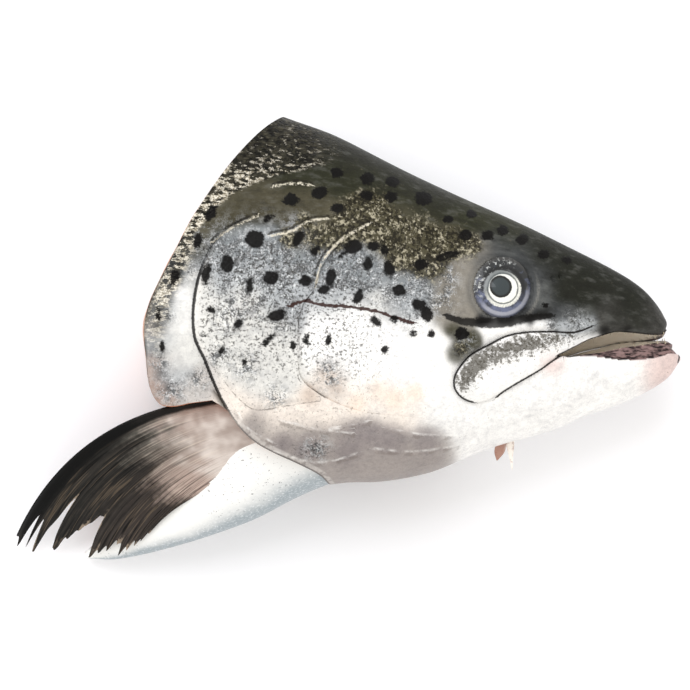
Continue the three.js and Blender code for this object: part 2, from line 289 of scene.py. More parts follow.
coverFront = smooth((42, -54), (44, -42), (40, -33.5), (31, -29), (20, -27.2), (8, -26), (0, -23.8),
                    (-6.5, -21), (-12.6, -17), (-16, -12.4), (-16.6, -4), (-16.4, 5), (-14.6, 11.6),
                    (-11.4, 16), (-9.4, 21.4), (-6.6, 27), (-1.4, 32.6), (7.6, 37.8))
coverTop = smooth((5, 39.4), (-3, 42), (-13, 41), (-20, 38.2), (-25.2, 37.4))
coverOutline = np.vstack([coverRear, [[20, -66]], coverFront, coverTop])
upperLip = smooth((135, 6), (119, 5), (113.6, 3.6), (110.6, 1.2), (106, 1), (100, 1.6), (94, 1.9),
                  (89, 0.6), (84, -1), (78.6, -3.7), (73.4, -6.2))
lowerLip = smooth((77, -6.6), (82, -6), (89.1, -5.1), (96.8, -3.5), (103.1, -2.7), (109, -1.8),
                  (113, -1.9), (116, -3.6), (121, -7), (135, -8))
mouthLine = smooth((74.8, -6.2), (71.6, -8.2), (67, -11.4), (60.4, -15.2), (56, -17.8), (52.4, -20.6),
                   (48, -27), (46.4, -34), (47, -42), (48, -70))
jawOutline = np.vstack([mouthLine, [[150, -70], [150, -6], [78.6, -6.2]]])
maxillaOutline = smooth((85.4, 3.8), (79.3, 1.8), (70.9, 2), (61.8, 1.7), (55.3, 0.3), (50.2, -2.2),
                        (43.6, -5.8), (39.6, -10), (37.5, -14.2), (37.9, -18), (40.6, -21), (44.6, -22.4),
                        (48.4, -21.8), (52.6, -19.8), (60.4, -15), (67, -11.2), (72.6, -6.8), (77.8, -4.2),
                        (84, -0.6), (88, 1), (85.4, 3.8))[:-1]
eye = {"x": 54.3, "y": 17.0, "radius": 10.4, "hidden": 0.6, "seat": 25.3, "slopeX": -0.333,
       "slopeY": -0.145,
       "pupil": 3.85, "iris": 6.8, "front": 0.7}
nostrils = [(72.3, 20.5, 1.1), (74.6, 21.3, 0.8)]
jawTip = smooth((112, -2), (115.2, -3.2), (116.6, -6), (116.2, -8.6))
jawGum = smooth((80, -6.2), (86, -6.6), (92, -7.4), (97, -7.9), (106, -7.4), (110, -6.6), (113.2, -5.6),
                (117, -6))


def heightAlong(line):  # y as a function of x
    return through(*line[np.argsort(line[:, 0])][::3])


# the lines that crease or ridge the skin

ridgeLines = [smooth((-10.2, 18.8), (-7.9, 26.2), (-3.1, 32.2), (2.3, 36.2), (7.5, 39)),
              smooth((-25.2, 35.2), (-18.5, 36.6), (-13.1, 39.7), (-6.5, 41)),
              smooth((-45, 33.4), (-40.6, 36.9), (-35.2, 39.7), (-31.3, 41.6)),
              smooth((-24, 52.3), (-18, 53.2), (-12.4, 52.7))]
throatFolds = [smooth((-37.4, -25), (-33.4, -31.6), (-25, -36.2)),
               smooth((-22, -28.6), (-9.6, -31.6), (2, -33)),
               smooth((-6, -31.3), (0, -30.4), (7.5, -28.8)),
               smooth((-25, -39.2), (-15, -42.4), (-6, -43), (4, -40)),
               smooth((14, -31), (26, -33.4), (40, -34)), smooth((10, -38.4), (24, -39.4), (38, -37.6))]
creaseLines = [smooth((35.2, 7.2), (40, 5.6), (46.3, 5.1), (54.7, 5.3), (64.4, 6.9), (70.9, 7.5)),
               smooth((-16.3, 6.8), (-15.9, -3.9), (-16.3, -13.8), (-13.1, -16.6), (-6.3, -21.2)),
               smooth((-45.8, -9.8), (-41, -16), (-36.7, -21.2), (-30.6, -25), (-20, -23.5), (-9.3, -21.9))]
veinLine = smooth((-18.5, 11.1), (-13.5, 12.8), (-7.9, 11.1), (1.6, 10.5), (11, 8.8), (17, 6.8),
                  (22.9, 5.1))


# relief of the skin, in millimetres along the surface normal

def eyeDistance(x, y):
    return np.hypot(x - eye["x"], y - eye["y"])


def ripple(x, y, size, seed=0.0):  # a soft repeatable unevenness
    a = np.sin(x / size + seed) * np.cos(y / (0.8 * size) + 1.7 * seed)
    b = np.sin((x + 1.6 * y) / (1.7 * size) + 2.1 + seed)
    return 0.5 * (a + b)


def creases(x, y):
    h = np.zeros(x.shape)
    for line in creaseLines[1:]:
        h -= 0.45 * bellCurve(lineDistance(line, x, y, 4), 0.7)
    for line in ridgeLines:
        h += 0.4 * bellCurve(lineDistance(line, x, y, 4), 0.9)
    for fold in throatFolds:
        h += 0.4 * bellCurve(lineDistance(fold, x, y, 6), 1.3)
    return h - 0.3 * bellCurve(lineDistance(veinLine, x, y, 4), 0.6)


def headRelief(x, y):
    h = 0.35 * ripple(x, y, 9) + creases(x, y)
    cover = depthIn(coverOutline, x, y, 12)
    rear = ease(-x, -6, 12)
    h -= 0.9 * rear * bellCurve(np.minimum(cover, 0), 4)
    h -= 2.8 * ease(cover, 0.2, 2)
    plate = depthIn(maxillaOutline, x, y, 6)
    h -= 0.7 * bellCurve(np.minimum(plate, 0), 1.1) * ease(88 - x, 0, 12)
    h -= 2.4 * ease(plate, 0.2, 1.6)
    r = eyeDistance(x, y)
    h += 0.8 * bellCurve(r - eye["radius"] - 1.2, 1.6) - 4.5 * ease(eye["radius"] - r, 0, 0.9)
    h -= 0.6 * bellCurve(lineDistance(creaseLines[0], x, y, 5), 0.9)
    h += 0.7 * bellCurve(lineDistance(creaseLines[0] + [0, -2.6], x, y, 6), 1.8)
    h += 0.9 * bellCurve(np.hypot(x - 66, (y - 13) / 1.5), 3.4)
    for px, py, radius in nostrils:
        d = np.hypot(x - px, y - py)
        h += 0.35 * bellCurve(d - radius - 0.5, 0.7) - 1.6 * bellCurve(d, radius)
    lips = np.minimum(lineDistance(upperLip, x, y, 4), lineDistance(lowerLip, x, y, 4))
    h -= 1.5 * (1 - np.clip(lips / 2.4, 0, 1)) ** 2
    gum = (y < 0) & (y > through(*jawGum[::6])(x)) & (x > 78)
    return h - 0.5 * gum


def roundedEdge(inside, radius):
    return np.sqrt(1 - (1 - np.clip(inside / radius, 0, 1)) ** 2)


def coverRelief(x, y):
    inside = depthIn(coverOutline, x, y, 12)
    front = lineDistance(coverFront, x, y, 16)
    stand = 0.06 + (form["coverStand"] - 0.06) * ease(front, 1, 15)
    return stand * roundedEdge(inside, 1.3) + 0.3 * ripple(x, y, 9) + creases(x, y) + 0.02


def plateRelief(x, y):
    inside = depthIn(maxillaOutline, x, y, 6)
    stand = 0.1 + 0.9 * ease(88 - x, 2, 26)
    return stand * roundedEdge(inside, 1.4) + 0.5 * ease(inside, 0, 5) + 0.25 * ripple(x, y, 5) + 0.03


# the skin pieces

skinDetail = {"along": 330, "around": 330, "patchAlong": 190, "patchAround": 180}


def alongHead(u):  # stations lie closer together towards the snout
    return form["rear"] + (form["front"] - form["rear"]) * (1 - (1 - u) ** 1.5)


def headForm(name):
    return surface(name, skinDetail["along"], skinDetail["around"],
                   lambda u, v: formPoint(alongHead(u), 2 * math.pi * v), headRelief)


def patchSolid(name, span, angles, relief, depth):
    # a slab that follows the form over part of the right side: outer face, then back along the inner
    outer = 0.8  # the share of v that runs over the outer face

    def place(u, v):
        x = span[0] + (span[1] - span[0]) * u
        t = np.where(v < outer, v / outer, (1 - v) / (1 - outer))
        p = formPoint(x, angles[0] + (angles[1] - angles[0]) * t)
        height = np.where(v < outer, relief(p[..., 0], p[..., 1]), -depth)
        return p + outwards(p) * height[..., None]
    return surface(name, skinDetail["patchAlong"], skinDetail["patchAround"], place)


def makeSkin():
    head = headForm("headSkin")
    carve(head, knifeSolid())
    carve(head, hollowSolid())
    carve(head, mouthSolid())
    jaw = copyOf(head, "lowerJaw")
    carve(jaw, slab("jawRegion", jawOutline), "INTERSECT")
    carve(head, slab("jawRegion", jawOutline))
    print("mouth and jaw done")
    cover = patchSolid("rightGillCover", (-56, 48), (0.55, math.pi - 0.004), coverRelief, 2.4)
    carve(cover, slab("coverRegion", coverOutline, low=midPlane - 1), "INTERSECT")
    plate = patchSolid("rightMaxilla", (34, 92), (0.9, 2.6), plateRelief, 1.8)
    carve(plate, slab("plateRegion", maxillaOutline, low=midPlane), "INTERSECT")
    pieces = {"head": head, "lower_jaw": jaw,
              "right_gill_cover": cover, "left_gill_cover": mirrored(cover, "leftGillCover"),
              "right_maxilla": plate, "left_maxilla": mirrored(plate, "leftMaxilla")}
    for piece in pieces.values():
        paintSkin(piece)
        movePoints(piece, settled(pointsOf(piece)))
    return pieces


# the knife cut: the flesh swells a little past the skin

cut = {"swell": 0.15, "proud": 2.3, "spineY": 27, "hollow": (-69, -12, 17, 20, 11)}


def knifeSolid():
    path = evenly(np.vstack([knifeLine, collarLine]), 0.8)
    outline = np.vstack([path, [[0, -150], [-150, -150], [-150, 150], [-20, 150]]])
    along = np.gradient(outline, axis=0)
    along /= np.linalg.norm(along, axis=1, keepdims=True)
    away = np.column_stack([along[:, 1], -along[:, 0]])
    onPath = np.arange(len(outline)) < len(path)

    def shift(at, xy, z):
        depth = halfAt(xy[..., 0], xy[..., 1]) - np.abs(z - midPlane)
        y = xy[..., 1]
        swell = cut["swell"] * ease(depth, 0.3, 5) * ease(y, -22, -4) * ease(92 - y, 0, 40)
        swell = swell + cut["proud"] * ease(depth, 0.2, 1.4) * bellCurve(y - 8, 15)
        swell = swell + 0.3 * ripple(y, z, 3.1) * ease(depth, 0.5, 3)
        return away[at] * (swell * onPath[at])[..., None]
    return slab("knife", outline, rows=130, shift=shift)


def hollowSolid():  # the front end of the gutted belly
    x, y, rx, ry, rz = cut["hollow"]

    def place(u, v):
        around, up = 2 * math.pi * u, math.pi * (v - 0.5)
        bumps = 1 + 0.04 * np.sin(3 * around + 1) * np.cos(up) ** 2
        wide = bumps * np.cos(up)
        return np.stack([x + rx * wide * np.cos(around), y + ry * wide * np.sin(around),
                         midPlane + rz * bumps * np.sin(up)], -1)
    return surface("hollow", 96, 60, place)


mouth = {"lip": 4.5, "palate": 6, "floor": 5, "pressed": 0.48, "droop": 1.6, "rear": 72, "front": 118}


def mouthSolid():
    outline = evenly(np.vstack([upperLip, lowerLip]), 0.9)
    upper = np.arange(len(outline)) < len(evenly(upperLip, 0.9))
    upperAt, lowerAt = heightAlong(upperLip), heightAlong(lowerLip)

    def shift(at, xy, z):
        inner = np.maximum(halfAt(xy[..., 0], xy[..., 1]) - mouth["lip"], 0.5)
        x = xy[..., 0]
        hollow = np.clip(1 - ((z - midPlane) / inner) ** 2, 0, 1)
        hollow = hollow * ease(x - mouth["rear"], 0, 12) * ease(mouth["front"] - 2 - x, 0, 12)
        rise = np.where(upper[at], mouth["palate"], -mouth["floor"]) * hollow
        gap = np.clip(upperAt(x) - lowerAt(x), 0, 8) * ease(midPlane - z, 1, 9)
        rise = rise + gap * mouth["pressed"] * np.where(upper[at], -1, 1) * ease(mouth["front"] - x, 0, 10)
        rise = rise - mouth["droop"] * ease(midPlane - z, 3, 15)  # the closed side hangs a little lower
        return np.stack([np.zeros(rise.shape), rise], -1)
    return slab("mouthGap", outline, rows=110, shift=shift)


def makeEye():  # a shallow dome that leans with the cheek, and a deeper back
    radius = eye["radius"] + eye["hidden"]  # the last of it lies under the lids

    def place(u, v):
        around = 2 * math.pi * u
        behind = (v - eye["front"]) / (1 - eye["front"]) * math.pi / 2
        r = radius * np.where(v < eye["front"], v / eye["front"], np.cos(behind))
        dome = 0.1 + 1.7 * bellCurve(r, 5.6) - 1.3 * (r / radius) ** 4
        dome = dome - 0.22 * bellCurve(r - eye["iris"], 0.5)
        back = -1.2 - 7 * np.sin(behind)
        dx, dy = r * np.cos(around), r * np.sin(around)
        lean = eye["slopeX"] * dx + eye["slopeY"] * dy
        return np.stack([eye["x"] + dx, eye["y"] + dy,
                         midPlane + eye["seat"] + lean + np.where(v < eye["front"], dome, back)], -1)
    return surface("rightEye", 96, 70, place)


# the fins: rays fan out from a fleshy base and end in ragged tips

finShapes = {
    "right": {"base": [(-41.5, -20.5, 56), (-37, -28.5, 56.5), (-31, -36.5, 48.2), (-33, -42.8, 44.5)],
              "bend": [(-94, -24.5, 48), (-82, -37, 47), (-68, -48, 43), (-51, -54.5, 38.5)],
              "tips": [(0, -116.8, -70, 4), (0.05, -115.9, -74.2, 4), (0.14, -110.4, -75.6, 4),
                       (0.27, -104, -76, 5), (0.40, -97, -76.6, 7), (0.5, -90.7, -77, 10),
                       (0.64, -82.6, -75.6, 15), (0.72, -78.9, -75.6, 18), (0.82, -73.8, -73.1, 21),
                       (0.91, -69.4, -69.4, 25), (1, -64.6, -63, 31)],
              "reach": [(0, 1), (0.045, 1.01), (0.07, 0.9), (0.085, 1), (0.105, 0.91), (0.125, 1.01),
                        (0.15, 0.98), (0.18, 0.86), (0.215, 0.76), (0.235, 0.9), (0.255, 1.01),
                        (0.29, 0.99), (0.31, 0.96), (0.33, 0.95), (0.40, 0.87), (0.44, 0.8), (0.465, 0.78),
                        (0.485, 0.93), (0.5, 1.01), (0.57, 0.995), (0.6, 1), (0.66, 0.945), (0.7, 1.01),
                        (0.78, 0.97), (0.84, 1), (0.93, 0.98), (1, 1)],
              "thickness": 7.5, "rays": 13},
    "left": {"base": [(-45.4, -26, 12), (-44.5, -34, 11), (-43, -42, 11)],
             "bend": [(-66, -32, 2.4), (-62, -42, 2.4), (-58, -50, 2.4)],
             "tips": [(0, -92, -60, 2), (0.3, -88, -66, 2), (0.65, -79, -67.5, 2), (1, -69, -62, 2)],
             "reach": [(0, 1), (0.2, 0.98), (0.3, 0.86), (0.36, 1), (0.6, 0.97), (0.7, 1), (1, 0.97)],
             "thickness": 4, "rays": 13}}


def makeFin(name, shape):
    base = smooth(*shape["base"], perSpan=20)
    bend = smooth(*shape["bend"], perSpan=20)
    tips = np.array(shape["tips"], float)
    reach = np.array(shape["reach"], float)

    def between(line, u):
        at = np.linspace(0, 1, len(line))
        return np.stack([np.interp(u, at, line[:, k]) for k in range(3)], -1)

    def place(u, v):
        along = 1 - np.abs(2 * v - 1)
        ragged = 0.022 * np.abs(np.sin(61 * u + 1)) + 0.014 * np.sin(131 * u) + 0.012 * np.sin(23 * u)
        t = (along * (np.interp(u, reach[:, 0], reach[:, 1]) - ragged * ease(u, 0, 0.04)))[..., None]
        end = np.stack([np.interp(u, tips[:, 0], tips[:, k]) for k in (1, 2, 3)], -1)
        p = (1 - t) ** 2 * between(base, u) + 2 * t * (1 - t) * between(bend, u) + t * t * end
        crown = np.sin(math.pi * np.clip(u * 0.94 + 0.03, 0, 1)) ** 0.6
        flesh = shape["thickness"] * (1 - along) ** 1.9 * crown
        flesh = flesh * (1 + 0.16 * ripple(u * 30, along * 26, 4.1, 2.2))
        phase = math.pi * shape["rays"] * (u + 0.012 * np.sin(17 * u + 5 * along) + 0.006 * np.sin(53 * u))
        split = ease(along, 0.4, 0.6)
        ridge = (1 - split) * np.abs(np.sin(phase)) + split * np.abs(np.sin(2 * phase))
        ray = 0.5 * (1 - 0.55 * along) * (0.4 + (0.2 + 0.7 * ease(along, 0.15, 0.5)) * ridge)
        rim = np.clip(u * (1 - u) * 30, 0, 1) ** 0.5 * np.clip((1 - along) * 14, 0, 1) ** 0.5
        leading = 0.9 * bellCurve(u, 0.035) * (1 - 0.5 * along)
        half = (flesh / 2 + ray + leading) * rim
        wave = 0.7 * np.sin(9 * u + 2) * along ** 2
        p[..., 2] = np.maximum(p[..., 2] + wave + half * np.sign(0.5 - v), 0.4)
        return p
    return surface(name, 260, 150, place, marks=lambda u, v: {"across": u, "along": 1 - np.abs(2 * v - 1)})


# the belly flap: a trough of belly wall that runs out to a point

flapStations = [  # keel x, y; rim x, y; lowest and highest wall; wall thickness
    (2, -48.5, -30, -16, 9, 57, 13), (-17, -56, -48, -26, 6.5, 52, 12.5),
    (-34, -64.6, -53, -36, 5.4, 44, 11), (-50, -70.6, -60, -47, 4.8, 35.5, 8.5),
    (-66, -75.3, -70, -58, 4.2, 26, 6), (-80, -78, -82, -68.6, 3.8, 15.5, 3),
    (-91.8, -78.5, -92.4, -76.4, 3.4, 6, 0.8)]


def makeFlap():
    steps = np.arange(len(flapStations))
    columns = [through(*zip(steps, column)) for column in zip(*flapStations)]
    keelX, keelY, rimX, rimY, low, high, wall = columns

    outer = 0.6  # the share of v that runs over the outer skin

    def place(u, v):
        t = u * steps[-1]
        inner = v > outer
        phi = math.pi * np.where(inner, (1 - v) / (1 - outer), v / outer)
        inset = np.where(inner, wall(t), 0)
        up = np.stack([rimX(t) - keelX(t), rimY(t) - keelY(t)], -1)
        depth = np.linalg.norm(up, axis=-1)
        rise = inset + (depth - inset) * (1 - np.sin(phi) ** 0.8)
        soft = 0.35 * ripple(t * 14, phi * 16, 4.2) * ~inner
        xy = np.stack([keelX(t), keelY(t)], -1) + up * ((rise + soft) / depth)[..., None]
        half = (high(t) - low(t)) / 2
        z = (high(t) + low(t)) / 2 + (half - inset) * np.cos(phi)
        return np.stack([xy[..., 0], xy[..., 1], z], -1)
    return surface("bellyFlap", 200, 150, place, marks=lambda u, v: {
        "inner": ease(v, outer - 0.015, outer) * (1 - ease(v, 0.985, 1)),
        "keel": bellCurve(v - outer / 2, 0.13) * (v < outer)})


# small parts

tag = {"x": 56, "y": -37.6, "lobes": [(-1.6, 5.6, 2.1, -0.25), (1.2, 8.8, 1.2, 0.12)]}


def makeTag():
    lobes = []
    for offset, length, width, lean in tag["lobes"]:
        def place(u, v):
            around = 2 * math.pi * u
            w = width * (1 - v ** 1.6) ** 0.8 * (1 + 0.25 * np.sin(5 * v + offset))
            x = tag["x"] + offset + lean * length * v + w * np.cos(around) * (1 + 0.2 * np.cos(3 * around))
            y = tag["y"] + 1.6 - (length + 1.6) * v
            z = midPlane + 0.6 * w * np.sin(around) + 1.2 * offset * v
            return np.stack([x, y + 0 * x, z], -1)
        lobes.append(surface("throatTag", 32, 36, place))
    return joined(lobes, "throatTag")


def joined(parts, name):
    bpy.ops.object.select_all(action="DESELECT")
    for part in parts:
        part.select_set(True)
    bpy.context.view_layer.objects.active = parts[0]
    bpy.ops.object.join()
    parts[0].name = parts[0].data.name = name
    return parts[0]


teeth = {"upperFrom": 84, "upperTo": 111.5, "lowerFrom": 90, "lowerTo": 112, "step": 2.7, "length": 1.15,
         "radius": 0.3, "tip": 0.06, "inset": 1.9, "front": 4, "frontLength": 1.7}


def makeTeeth(name, low, high, lip, up):
    lipAt = heightAlong(lip)
    cones = []
    x = low
    while x < high:
        for side in (1, -1):
            y = float(lipAt(x))
            half = float(halfAt(np.array(x), np.array(y)))
            z = midPlane + side * max(half - teeth["inset"], 1.2)
            share = teeth["frontLength"] if x > high - teeth["front"] else 0.8 + 0.2 * math.sin(3.7 * x)
            length = teeth["length"] * share
            bpy.ops.mesh.primitive_cone_add(vertices=10, radius1=teeth["radius"] * mm,
                                            radius2=teeth["tip"] * mm,
                                            depth=length * mm, end_fill_type="NGON")
            cone = bpy.context.object
            p = pointsOf(cone)
            lift = p[:, 2] + length / 2  # the cone's own height turns to point across the mouth
            turned = np.column_stack([x + p[:, 0] - 0.12 * lift ** 2, y + up * (lift - 0.5), z + p[:, 1]])
            movePoints(cone, turned)
            cones.append(cone)
        x += teeth["step"]
    piece = joined(cones, name)
    facingOut(piece)
    return piece


# where the skin's colours, spots and lines lie, in the side view

def linear(red, green, blue):
    shares = [c / 255 for c in (red, green, blue)]
    return tuple(c / 12.92 if c < 0.0405 else ((c + 0.055) / 1.055) ** 2.4 for c in shares)


tones = {"nape": linear(38, 38, 33), "crown": linear(43, 44, 30), "snout": linear(36, 37, 31),
         "tip": linear(64, 63, 60), "black": linear(20, 19, 18), "sheen": linear(104, 106, 104),
         "tan": linear(196, 178, 164), "peach": linear(240, 221, 204), "mauveShade": linear(134, 126, 127),
         "olive": linear(72, 68, 53), "moss": linear(66, 64, 48), "bronze": linear(100, 95, 78),
         "steel": linear(134, 139, 142), "silver": linear(178, 182, 185), "pearl": linear(222, 221, 217),
         "white": linear(248, 247, 245), "warm": linear(238, 228, 218), "beige": linear(136, 131, 122),
         "slate": linear(74, 76, 78), "throatShade": linear(160, 152, 148), "pink": linear(226, 205, 200),
         "collar": linear(196, 191, 187), "rose": linear(170, 146, 134)}
dabs = {"nape": [(-24, 73, 8), (-12, 68, 8), (-33, 64, 7), (2, 64, 7), (16, 58, 6), (30, 51, 6)],
        "crown": [(-8, 58, 6), (4, 54, 6), (16, 50, 6), (28, 44, 6), (42, 40, 6), (56, 35, 6),
                  (-20, 58, 4)],
        "snout": [(70, 27, 7), (80, 20, 7), (90, 16, 7), (100, 12, 6), (76, 13, 5), (84, 11, 4),
                  (64, 30, 5), (96, 8, 3.5), (103, 7, 3)],
        "sheen": [(84, 8, 1.8), (79, 7, 1.6), (68, 17, 1.8), (67.6, 12.5, 1.6)],
        "moss": [(41, -2, 2), (38, -6, 1.7), (45, -0.4, 1.3), (37, 3, 1.4)],
        "tan": [(-6, -13, 2.6), (-3, -17, 2.2), (-12, -20, 2.2)],
        "peach": [(11, -18, 2.6), (17, -21, 2.2), (24, -19, 2), (4, -22, 2)],
        # painted shade: grey-mauve dabs where the throat turns under
        "mauveShade": [(6, -34, 3.5), (-12, -38.4, 3), (2, -39, 3), (16, -36, 3.5), (28, -36, 3), (-22, -36, 2)],
        "tip": [(107, 6, 4), (110, 8, 3), (96, 4.6, 3), (88, 7, 2.5), (92, 10, 3)],
        "olive": [(-44, 42, 4), (-49, 31, 3), (-36, 47, 4), (-28, 49, 4), (-16, 45, 4), (-10, 44, 4),
                  (-54, 35, 3)],
        "bronze": [(6, 42, 4), (14, 39, 5), (22, 36, 5), (30, 32, 4), (20, 29, 4), (-2, 41, 3),
                   (-10, 37, 3.5), (36, 34, 3), (28, 26, 3.5), (-16, 35, 3), (-52, 40, 4), (-45, 54, 4),
                   (-38, 60, 4)],
        "steel": [(-42, 30, 4), (-34, 30, 4), (-24, 29, 4), (-14, 26, 4), (2, 24, 4), (8, 20, 4),
                  (-60, 22, 3), (-56, 33, 3), (16, 12, 4), (24, 18, 4)],
        "silver": [(-42, 20, 4), (-32, 22, 4), (-20, 18, 4), (-4, 14, 4), (-46, 26, 3), (22, 12, 3),
                   (-62, 10, 4), (-64, -4, 4), (-60, -14, 4), (76, 4, 1.6), (81, 5.4, 1.6), (85, 5.6, 1.4),
                   (-22, 10, 4)],
        "pearl": [(-46, 10, 4), (-36, 12, 4), (-26, 4, 4), (-30, -6, 4), (-44, 0, 4), (-20, -14, 4),
                  (-34, -14, 4), (12, 12, 3), (-50, 18, 3), (-56, 6, 4), (-58, -6, 4)],
        "white": [(0, 5, 6), (12, 0, 7), (20, -8, 8), (30, -16, 8), (-4, -10, 6), (8, -14, 6),
                  (60, -22, 8), (75, -16, 8), (88, -14, 8), (48, -28, 8), (100, -12, 5), (60, 3.4, 1.7),
                  (50, 1.6, 2), (68, 3.8, 1.4), (56, 2.6, 1.6), (-56, 14, 3), (36, -24, 7), (46, -14, 3),
                  (62, -8, 2.5), (72, -5, 2.5), (-55, 6, 2.5)],
        "warm": [(-6, -18, 4), (4, -20, 5), (20, -24, 5), (-12, -24, 5), (-24, -28, 4), (-38, -22, 4)],
        "beige": [(37, 22, 4.5), (39, 14, 5), (37, 8, 3), (43, 26, 3.5), (46, 30, 3)],
        "slate": [(-64.6, 4, 1.5), (-64.4, -5, 1.6), (-63.4, -12, 1.5), (-61, -17.6, 1.4), (-58, 20, 1.2),
                  (66, 20, 4), (68, 12, 3), (60, 29, 3.5), (52, 31, 3.5), (74, 9, 2), (78, 8.6, 2),
                  (46, 28, 2.5)],
        "black": [(56, 6.4, 1.6), (62, 7.6, 1.8), (68, 8.2, 1.6), (48, 6.2, 1.3), (90, 2.6, 1),
                  (98, 2.8, 1)],
        # painted shade: grey dabs on the lower throat, where it turns away from the light
        "throatShade": [(-10, -36, 4), (4, -38, 5), (18, -40, 5), (30, -38, 4), (-22, -34, 4), (-30, -30, 3),
                   (8, -46, 5), (24, -46, 5), (-10, -44, 4)],
        "pink": [(113, -9, 4), (108, -12, 4), (72, -9, 2.5)],
        "collar": [(-62, -8, 3.5), (-66, 4, 3), (-56, -20, 3), (-50, -16, 3)],
        "rose": [(-65, -18, 3), (-61, -22, 3), (-66, -9, 2.4)]}


def colourAt(x, y):  # soft dabs of colour that run into each other
    total = np.zeros(x.shape + (3,))
    weights = np.full(x.shape, 1e-9)
    for tone, places in dabs.items():
        for dx, dy, radius in places:
            w = np.exp(-((x - dx) ** 2 + (y - dy) ** 2) / (1.5 * radius ** 2)) * (6 / radius)
            total += w[..., None] * np.array(tones[tone])
            weights += w
    return total / weights[..., None]


spots = [  # x, y, half length, half width, turn in degrees
    (-31.2, 33.9, 3.4, 3, 0), (-40.6, 25.2, 3, 2.3, 90), (-25.7, 20.5, 2.6, 2.4, 0),
    (-32.9, 17.9, 3.1, 1.2, 85), (-13.8, 19.5, 2.5, 1.9, 30), (-5.1, 20.5, 3.5, 1.8, 80),
    (-7.5, 16.2, 2.3, 1.5, 20), (2.6, 31.2, 3.4, 2.4, 15), (-1.5, 28.2, 2.2, 0.7, 30),
    (9.6, 31.4, 1.9, 1.7, 0), (13.4, 30.2, 2, 1.6, 120), (7.6, 25.2, 2.8, 1.6, 80),
    (15, 23.6, 2.8, 1.9, 95), (4.3, 13.8, 2.8, 1.7, 65), (18.5, 16.5, 2.3, 2.1, 0),
    (26, 25.2, 2.6, 1.9, 10), (25.2, 11.4, 2.6, 2, 0), (27.8, 8, 2.8, 2.2, 120), (23.3, 1.4, 1.5, 1.2, 0),
    (29.4, 1.4, 1.2, 1.2, 0), (10.4, 5.6, 2.1, 1.2, 130), (16.6, 6.5, 1.6, 1.2, 100),
    (13.3, -4.3, 1.5, 1.2, 60), (-5.8, -0.9, 1.9, 1.2, 80), (-13.2, 0.4, 1.3, 0.8, 30),
    (-13.8, -1.4, 1.7, 0.8, 140), (-17.9, -2.8, 1.4, 1.2, 0), (-26.5, -0.9, 2.9, 1, 40),
    (-23.5, 7.5, 3.6, 1.9, 20), (-36.8, 4.8, 2.1, 1.3, 60), (-46.2, 9.7, 1.5, 1.1, 0),
    (-42.6, -4.6, 1.6, 1, 70), (-48.7, 0.8, 1.2, 0.8, 0), (-34.9, -8.6, 1.3, 0.9, 10),
    (-31.4, -8.2, 1.6, 0.25, 5), (-51, 33.3, 2.7, 1.6, 70), (-58.7, 20.8, 2.9, 1.6, 70),
    (-48, 21.9, 3.5, 1.6, 80), (-46.4, 42.9, 3, 1.8, 60), (-16.5, 33.9, 3.4, 1.7, 60),
    (-10.5, 29.9, 2, 1.3, 30), (40.1, 1.4, 2.4, 2.3, 0), (36.2, 28.6, 3.2, 1.2, 10),
    (33, 27.4, 1.8, 1.4, 0), (-18.8, 47.6, 2.8, 2.1, 0), (-9.1, 50, 2.8, 2.2, 20), (7.6, 55, 2.5, 2.1, 0),
    (16.3, 54.1, 2.5, 2.1, 0), (-3.1, 57, 2.3, 1.9, 0), (27, 48.3, 3.1, 2.6, 0), (7.2, 49, 2.4, 1.8, 0),
    (15.6, 48.7, 2.2, 1.9, 0), (43.7, 42.9, 1.8, 1.6, 0), (41.4, 35.4, 2.4, 2, 0),
    (49.2, 35.4, 2.2, 1.8, 0), (54.7, 37.3, 2, 1.8, 0), (61.4, 34.1, 2.4, 1.8, 30),
    (68.8, 28.9, 2.2, 1.6, 0), (77, 27, 1.6, 1.2, 0), (69.1, 11.1, 1.2, 0.9, 0), (-2.8, 44.6, 2.6, 1.8, 0),
    (-26.4, 41.2, 2.2, 1.2, 20), (35.5, 41, 1.9, 1.5, 0), (-64.5, 8, 0.9, 2.4, 10), (-63, -3, 1, 2, 0),
    (-56.6, 28, 1.2, 0.9, 0)]
mottles = {  # x, y, radius of the places each kind of mottling covers, and how much flatter than round
    "bronze": ([(2, 41, 7), (12, 39, 8), (22, 34, 8), (30, 32, 7), (-9, 34, 5.5), (20, 27, 6), (37, 33, 6),
                (8, 45, 7), (-20, 34, 4), (-2, 34, 5), (30, 24, 6), (44, 32, 4), (-14, 40, 3),
                (40, -4, 3.4)], 1.1),
    "granite": ([(-42, 28, 8), (-30, 28, 9), (-18, 25, 8), (-6, 24, 8), (4, 22, 8), (14, 18, 7),
                 (24, 16, 7), (-36, 16, 8), (-24, 14, 7), (-22, 6, 6), (-56, 24, 5), (-62, 8, 4),
                 (-64, -8, 4), (-60, -18, 5), (-54, 34, 4), (-50, -14, 4), (32, 14, 5), (24, 5, 4),
                 (34, 22, 4), (30, 18, 5), (-6, -13, 5), (-40, 6, 5), (-44, -6, 4), (-34, -10, 5),
                 (-10, -38.4, 4), (-24, -20, 4), (80, 4.6, 3.4), (71, 4, 2), (41, -2, 3), (-16, 37, 4)], 1)}
streakLine = smooth((41, -15), (44.5, -9.6), (52, -5), (61, -2.6), (70, -0.9), (78, 0.3))
drawnLines = {  # the stretches of each line that show as colour
    "crease": [maxillaOutline[:66], upperLip[18:], lowerLip[:24], mouthLine[:31], jawTip],
    "seamLine": creaseLines[1:], "underEye": [creaseLines[0]], "edge": [coverRear[6:]], "vein": [veinLine],
    "pale": ridgeLines, "fold": throatFolds}
scalyLine = smooth((-58, 27), (-52, 34.5), (-46.5, 41.5), (-39, 48.6), (-28.5, 53.6), (-18, 56.6),
                   (-8, 58.6), (0, 62), (4, 70), (6, 84))


